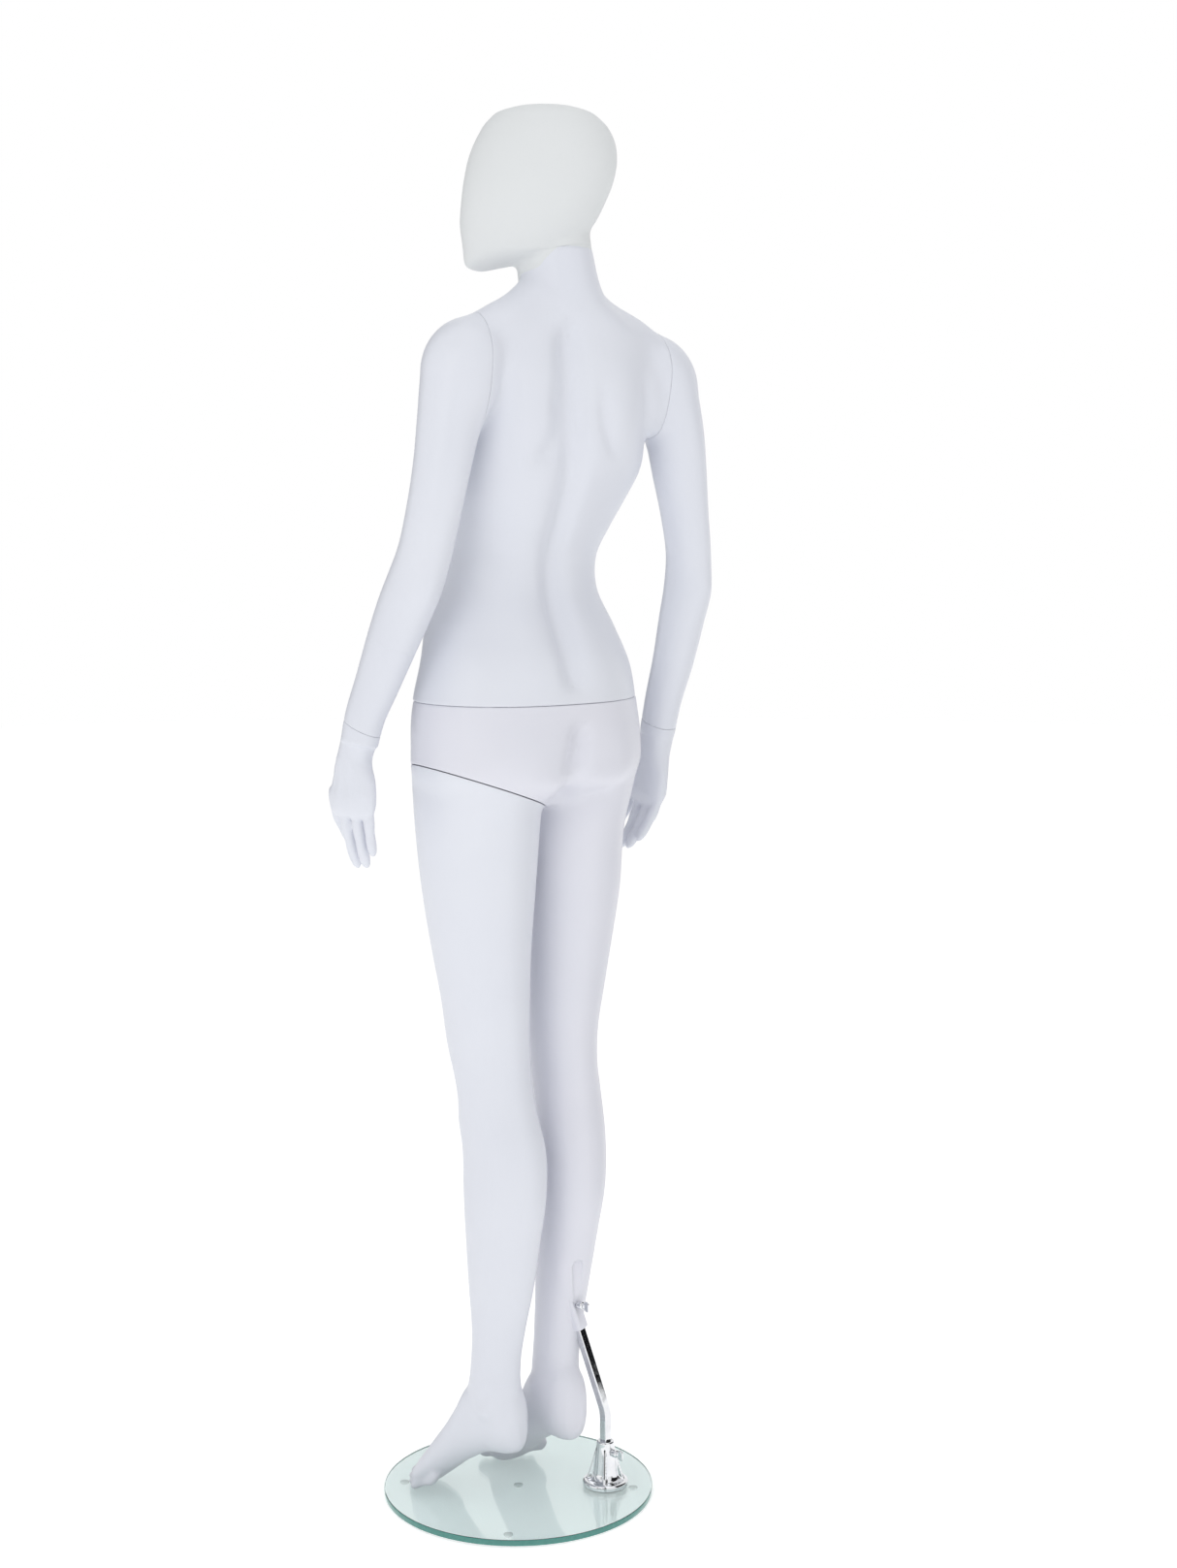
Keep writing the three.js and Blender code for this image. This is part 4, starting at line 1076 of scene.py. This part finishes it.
def makeHead():
    turn = radians(headLook3d["turn"])
    ahead = np.array([sin(turn), -cos(turn), 0])
    side = np.array([cos(turn), sin(turn), 0])
    full = smoothRows([[0, 0, *row] for row in headRows], 3)[:, 2:]
    axis = np.array([*headLook3d["axis"], 0])
    centres = axis + ahead * full[:, 1:2] + np.array([0, 0, 1]) * full[:, :1]
    count = len(full)
    crown = tube("crown", centres, np.tile(side, (count, 1)), np.tile(-ahead, (count, 1)),
                 np.maximum(full[:, [3, 2]], 2), 2.1, 96)
    skin = fuse("headSkin", [crown, levelTube("collar", collarRows, step=4)], 2.8, 12, 16, 6)
    part(skin, seams["neck"], lambda spot: (spot - seams["neck"]["at"]).length < 0.07)
    return keepOnly(splitLoose(skin), {"headShell": (-5, 40, 1665)})["headShell"]


body["headShell"] = makeHead()
print("head made")


# ---- finish and bodies ----
def finishShell(piece, node, bodyName, finish):
    piece.data.materials.clear()
    piece.data.materials.append(finish)
    for face in piece.data.polygons:
        face.use_smooth = len(face.vertices) < 12
    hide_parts(node)
    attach(piece, bodyName)


for key, node, bodyName, finish, slot in [
    ("headShell", "head", "head", headPaint, "head_matte"),
    ("torsoShell", "torso", "torso", bodyPaint, "body_satin"),
    ("leftArmShell", "left_arm", "left_arm", bodyPaint, "body_satin"),
    ("rightArmShell", "right_arm", "right_arm", bodyPaint, "body_satin"),
    ("leftHandShell", "left_hand", "left_hand", bodyPaint, "body_satin"),
    ("rightHandShell", "right_hand", "right_hand", bodyPaint, "body_satin"),
    ("leftLegShell", "left_leg", "lower_body", bodyPaint, "body_satin"),
    ("hipShell", "pelvis_right_leg", "lower_body", hipPaint, "body_satin"),
]:
    finishShell(body[key], node, bodyName, finish)

for piece, node, bodyName, slot in metalWork:
    finishShell(piece, node, bodyName, chromePlate)

carried = {
    zincPlate: ["calf_socket", "flange_bolt"] + [
        f"{joint}_{half}" for joint in
        ("neck", "left_shoulder", "right_shoulder", "left_wrist", "right_wrist", "waist", "left_hip")
        for half in ("socket", "peg")
    ],
    bumperRubber: ["flange_gasket"] + [f"glass_pad_{number}" for number in range(1, 6)],
}
for finish, nodes in carried.items():
    for node in nodes:
        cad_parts[node].data.materials.clear()
        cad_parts[node].data.materials.append(finish)


# ---- glass disc ----
disc = {"radius": 175, "bottom": 2.5, "top": 10.5, "bevel": 0.9, "sides": 192}


def makeDisc():
    r, low, high, bevel = disc["radius"], disc["bottom"], disc["top"], disc["bevel"]
    profile = [
        (0, low), (r - bevel, low), (r - 0.3 * bevel, low + 0.3 * bevel), (r, low + bevel),
        (r, high - bevel), (r - 0.3 * bevel, high - 0.3 * bevel), (r - bevel, high), (0, high),
    ]
    plate = linkShape("glassPlate", spun(profile, disc["sides"], Matrix()))
    mesh = plate.data
    mesh.materials.append(discGlass)
    mesh.materials.append(rimGlass)
    for face in mesh.polygons:
        level = abs(face.normal.z) > 0.9
        face.material_index = 0 if level else 1
        face.use_smooth = not level
    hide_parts("glass_disc")
    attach(plate, "base")


makeDisc()
print("base made")

# ---- floor and light ----
studio = {"floor": (0.9, 0.9, 0.9), "glow": 0.45, "key": 34, "fill": 10, "rim": 14, "sky": 0.62}


def makeFloor():
    shape = bmesh.new()
    bmesh.ops.create_circle(shape, cap_ends=True, segments=96, radius=9)
    floor = linkShape("studioFloor", shape)
    shade = Shade("studioFloorPaper", Roughness=0.9, Specular_IOR_Level=0.1)
    shade.set(Emission_Color=(1, 1, 1), Emission_Strength=studio["glow"])
    floor.data.materials.append(shade.set(Base_Color=studio["floor"]))


def addLight(name, at, target, size, power):
    data = bpy.data.lights.new(name, "AREA")
    data.shape = "RECTANGLE"
    data.size, data.size_y = size
    data.energy = power
    lamp = bpy.data.objects.new(name, data)
    lamp.location = at
    lamp.rotation_euler = (Vector(target) - Vector(at)).to_track_quat("-Z", "Y").to_euler()
    bpy.context.scene.collection.objects.link(lamp)


def addFlag():
    # a black card beside the set, seen only in reflections on the metal
    flag = makeObject("blackFlag", [(-0.55, 0, 0.02), (0.55, 0, 0.02), (0.55, 0, 0.95), (-0.55, 0, 0.95)],
                      [(0, 1, 2, 3)])
    flag.location = (-0.66, 0.64, 0)
    flag.rotation_euler = (0, 0, radians(46))
    shade = Shade("blackFlagCloth", Roughness=1, Specular_IOR_Level=0)
    flag.data.materials.append(shade.set(Base_Color=(0.01, 0.01, 0.012)))
    flag.visible_camera = flag.visible_diffuse = flag.visible_shadow = flag.visible_transmission = False


def makeSky():
    # plain white to the camera; a pale room to diffuse light; in reflections bright white with three upright dark
    # bands
    world = bpy.data.worlds.new("studioSky")
    world.use_nodes = True
    tree = world.node_tree
    tree.nodes.clear()

    def add(kind, settings, inputs):
        made = tree.nodes.new(kind)
        for key, value in settings.items():
            setattr(made, key, value)
        for key, value in inputs.items():
            if isinstance(value, bpy.types.NodeSocket):
                tree.links.new(value, made.inputs[key])
            else:
                made.inputs[key].default_value = value
        return made

    seen = add("ShaderNodeLightPath", {}, {})
    aim = add("ShaderNodeTexCoord", {}, {})
    parts = add("ShaderNodeSeparateXYZ", {}, {"Vector": aim.outputs["Generated"]})
    turn = add("ShaderNodeMath", {"operation": "ARCTAN2"}, {0: parts.outputs["Y"], 1: parts.outputs["X"]})
    wave = add("ShaderNodeMath", {"operation": "SINE"}, {0: add(
        "ShaderNodeMath", {"operation": "MULTIPLY"}, {0: turn.outputs[0], 1: 3.0}).outputs[0]})
    dark = add("ShaderNodeMapRange", {"clamp": True}, {
        "Value": wave.outputs[0], "From Min": 0.2, "From Max": 0.5, "To Min": 1.0, "To Max": 0.04})
    glossy = add("ShaderNodeMix", {"data_type": "FLOAT"}, {
        0: seen.outputs["Is Glossy Ray"], 2: studio["sky"], 3: dark.outputs[0]})
    level = add("ShaderNodeMix", {"data_type": "FLOAT"}, {
        0: seen.outputs["Is Camera Ray"], 2: glossy.outputs[0], 3: 1.0})
    ground = add("ShaderNodeBackground", {}, {"Color": (1, 1, 1, 1), "Strength": level.outputs[0]})
    end = add("ShaderNodeOutputWorld", {}, {})
    tree.links.new(ground.outputs[0], end.inputs["Surface"])
    bpy.context.scene.world = world


makeFloor()
makeSky()
addLight("keySoftbox", (3.2, 1.6, 2.6), (0, 0, 1.0), (2.2, 3.2), studio["key"])
addLight("fillSoftbox", (-2.8, 2.8, 2.2), (0, 0, 1.0), (2.2, 3.2), studio["fill"])
addFlag()
addLight("topSoftbox", (0, 0.4, 3.6), (0, 0, 1.0), (2.6, 2.6), studio["rim"])
print("studio made")
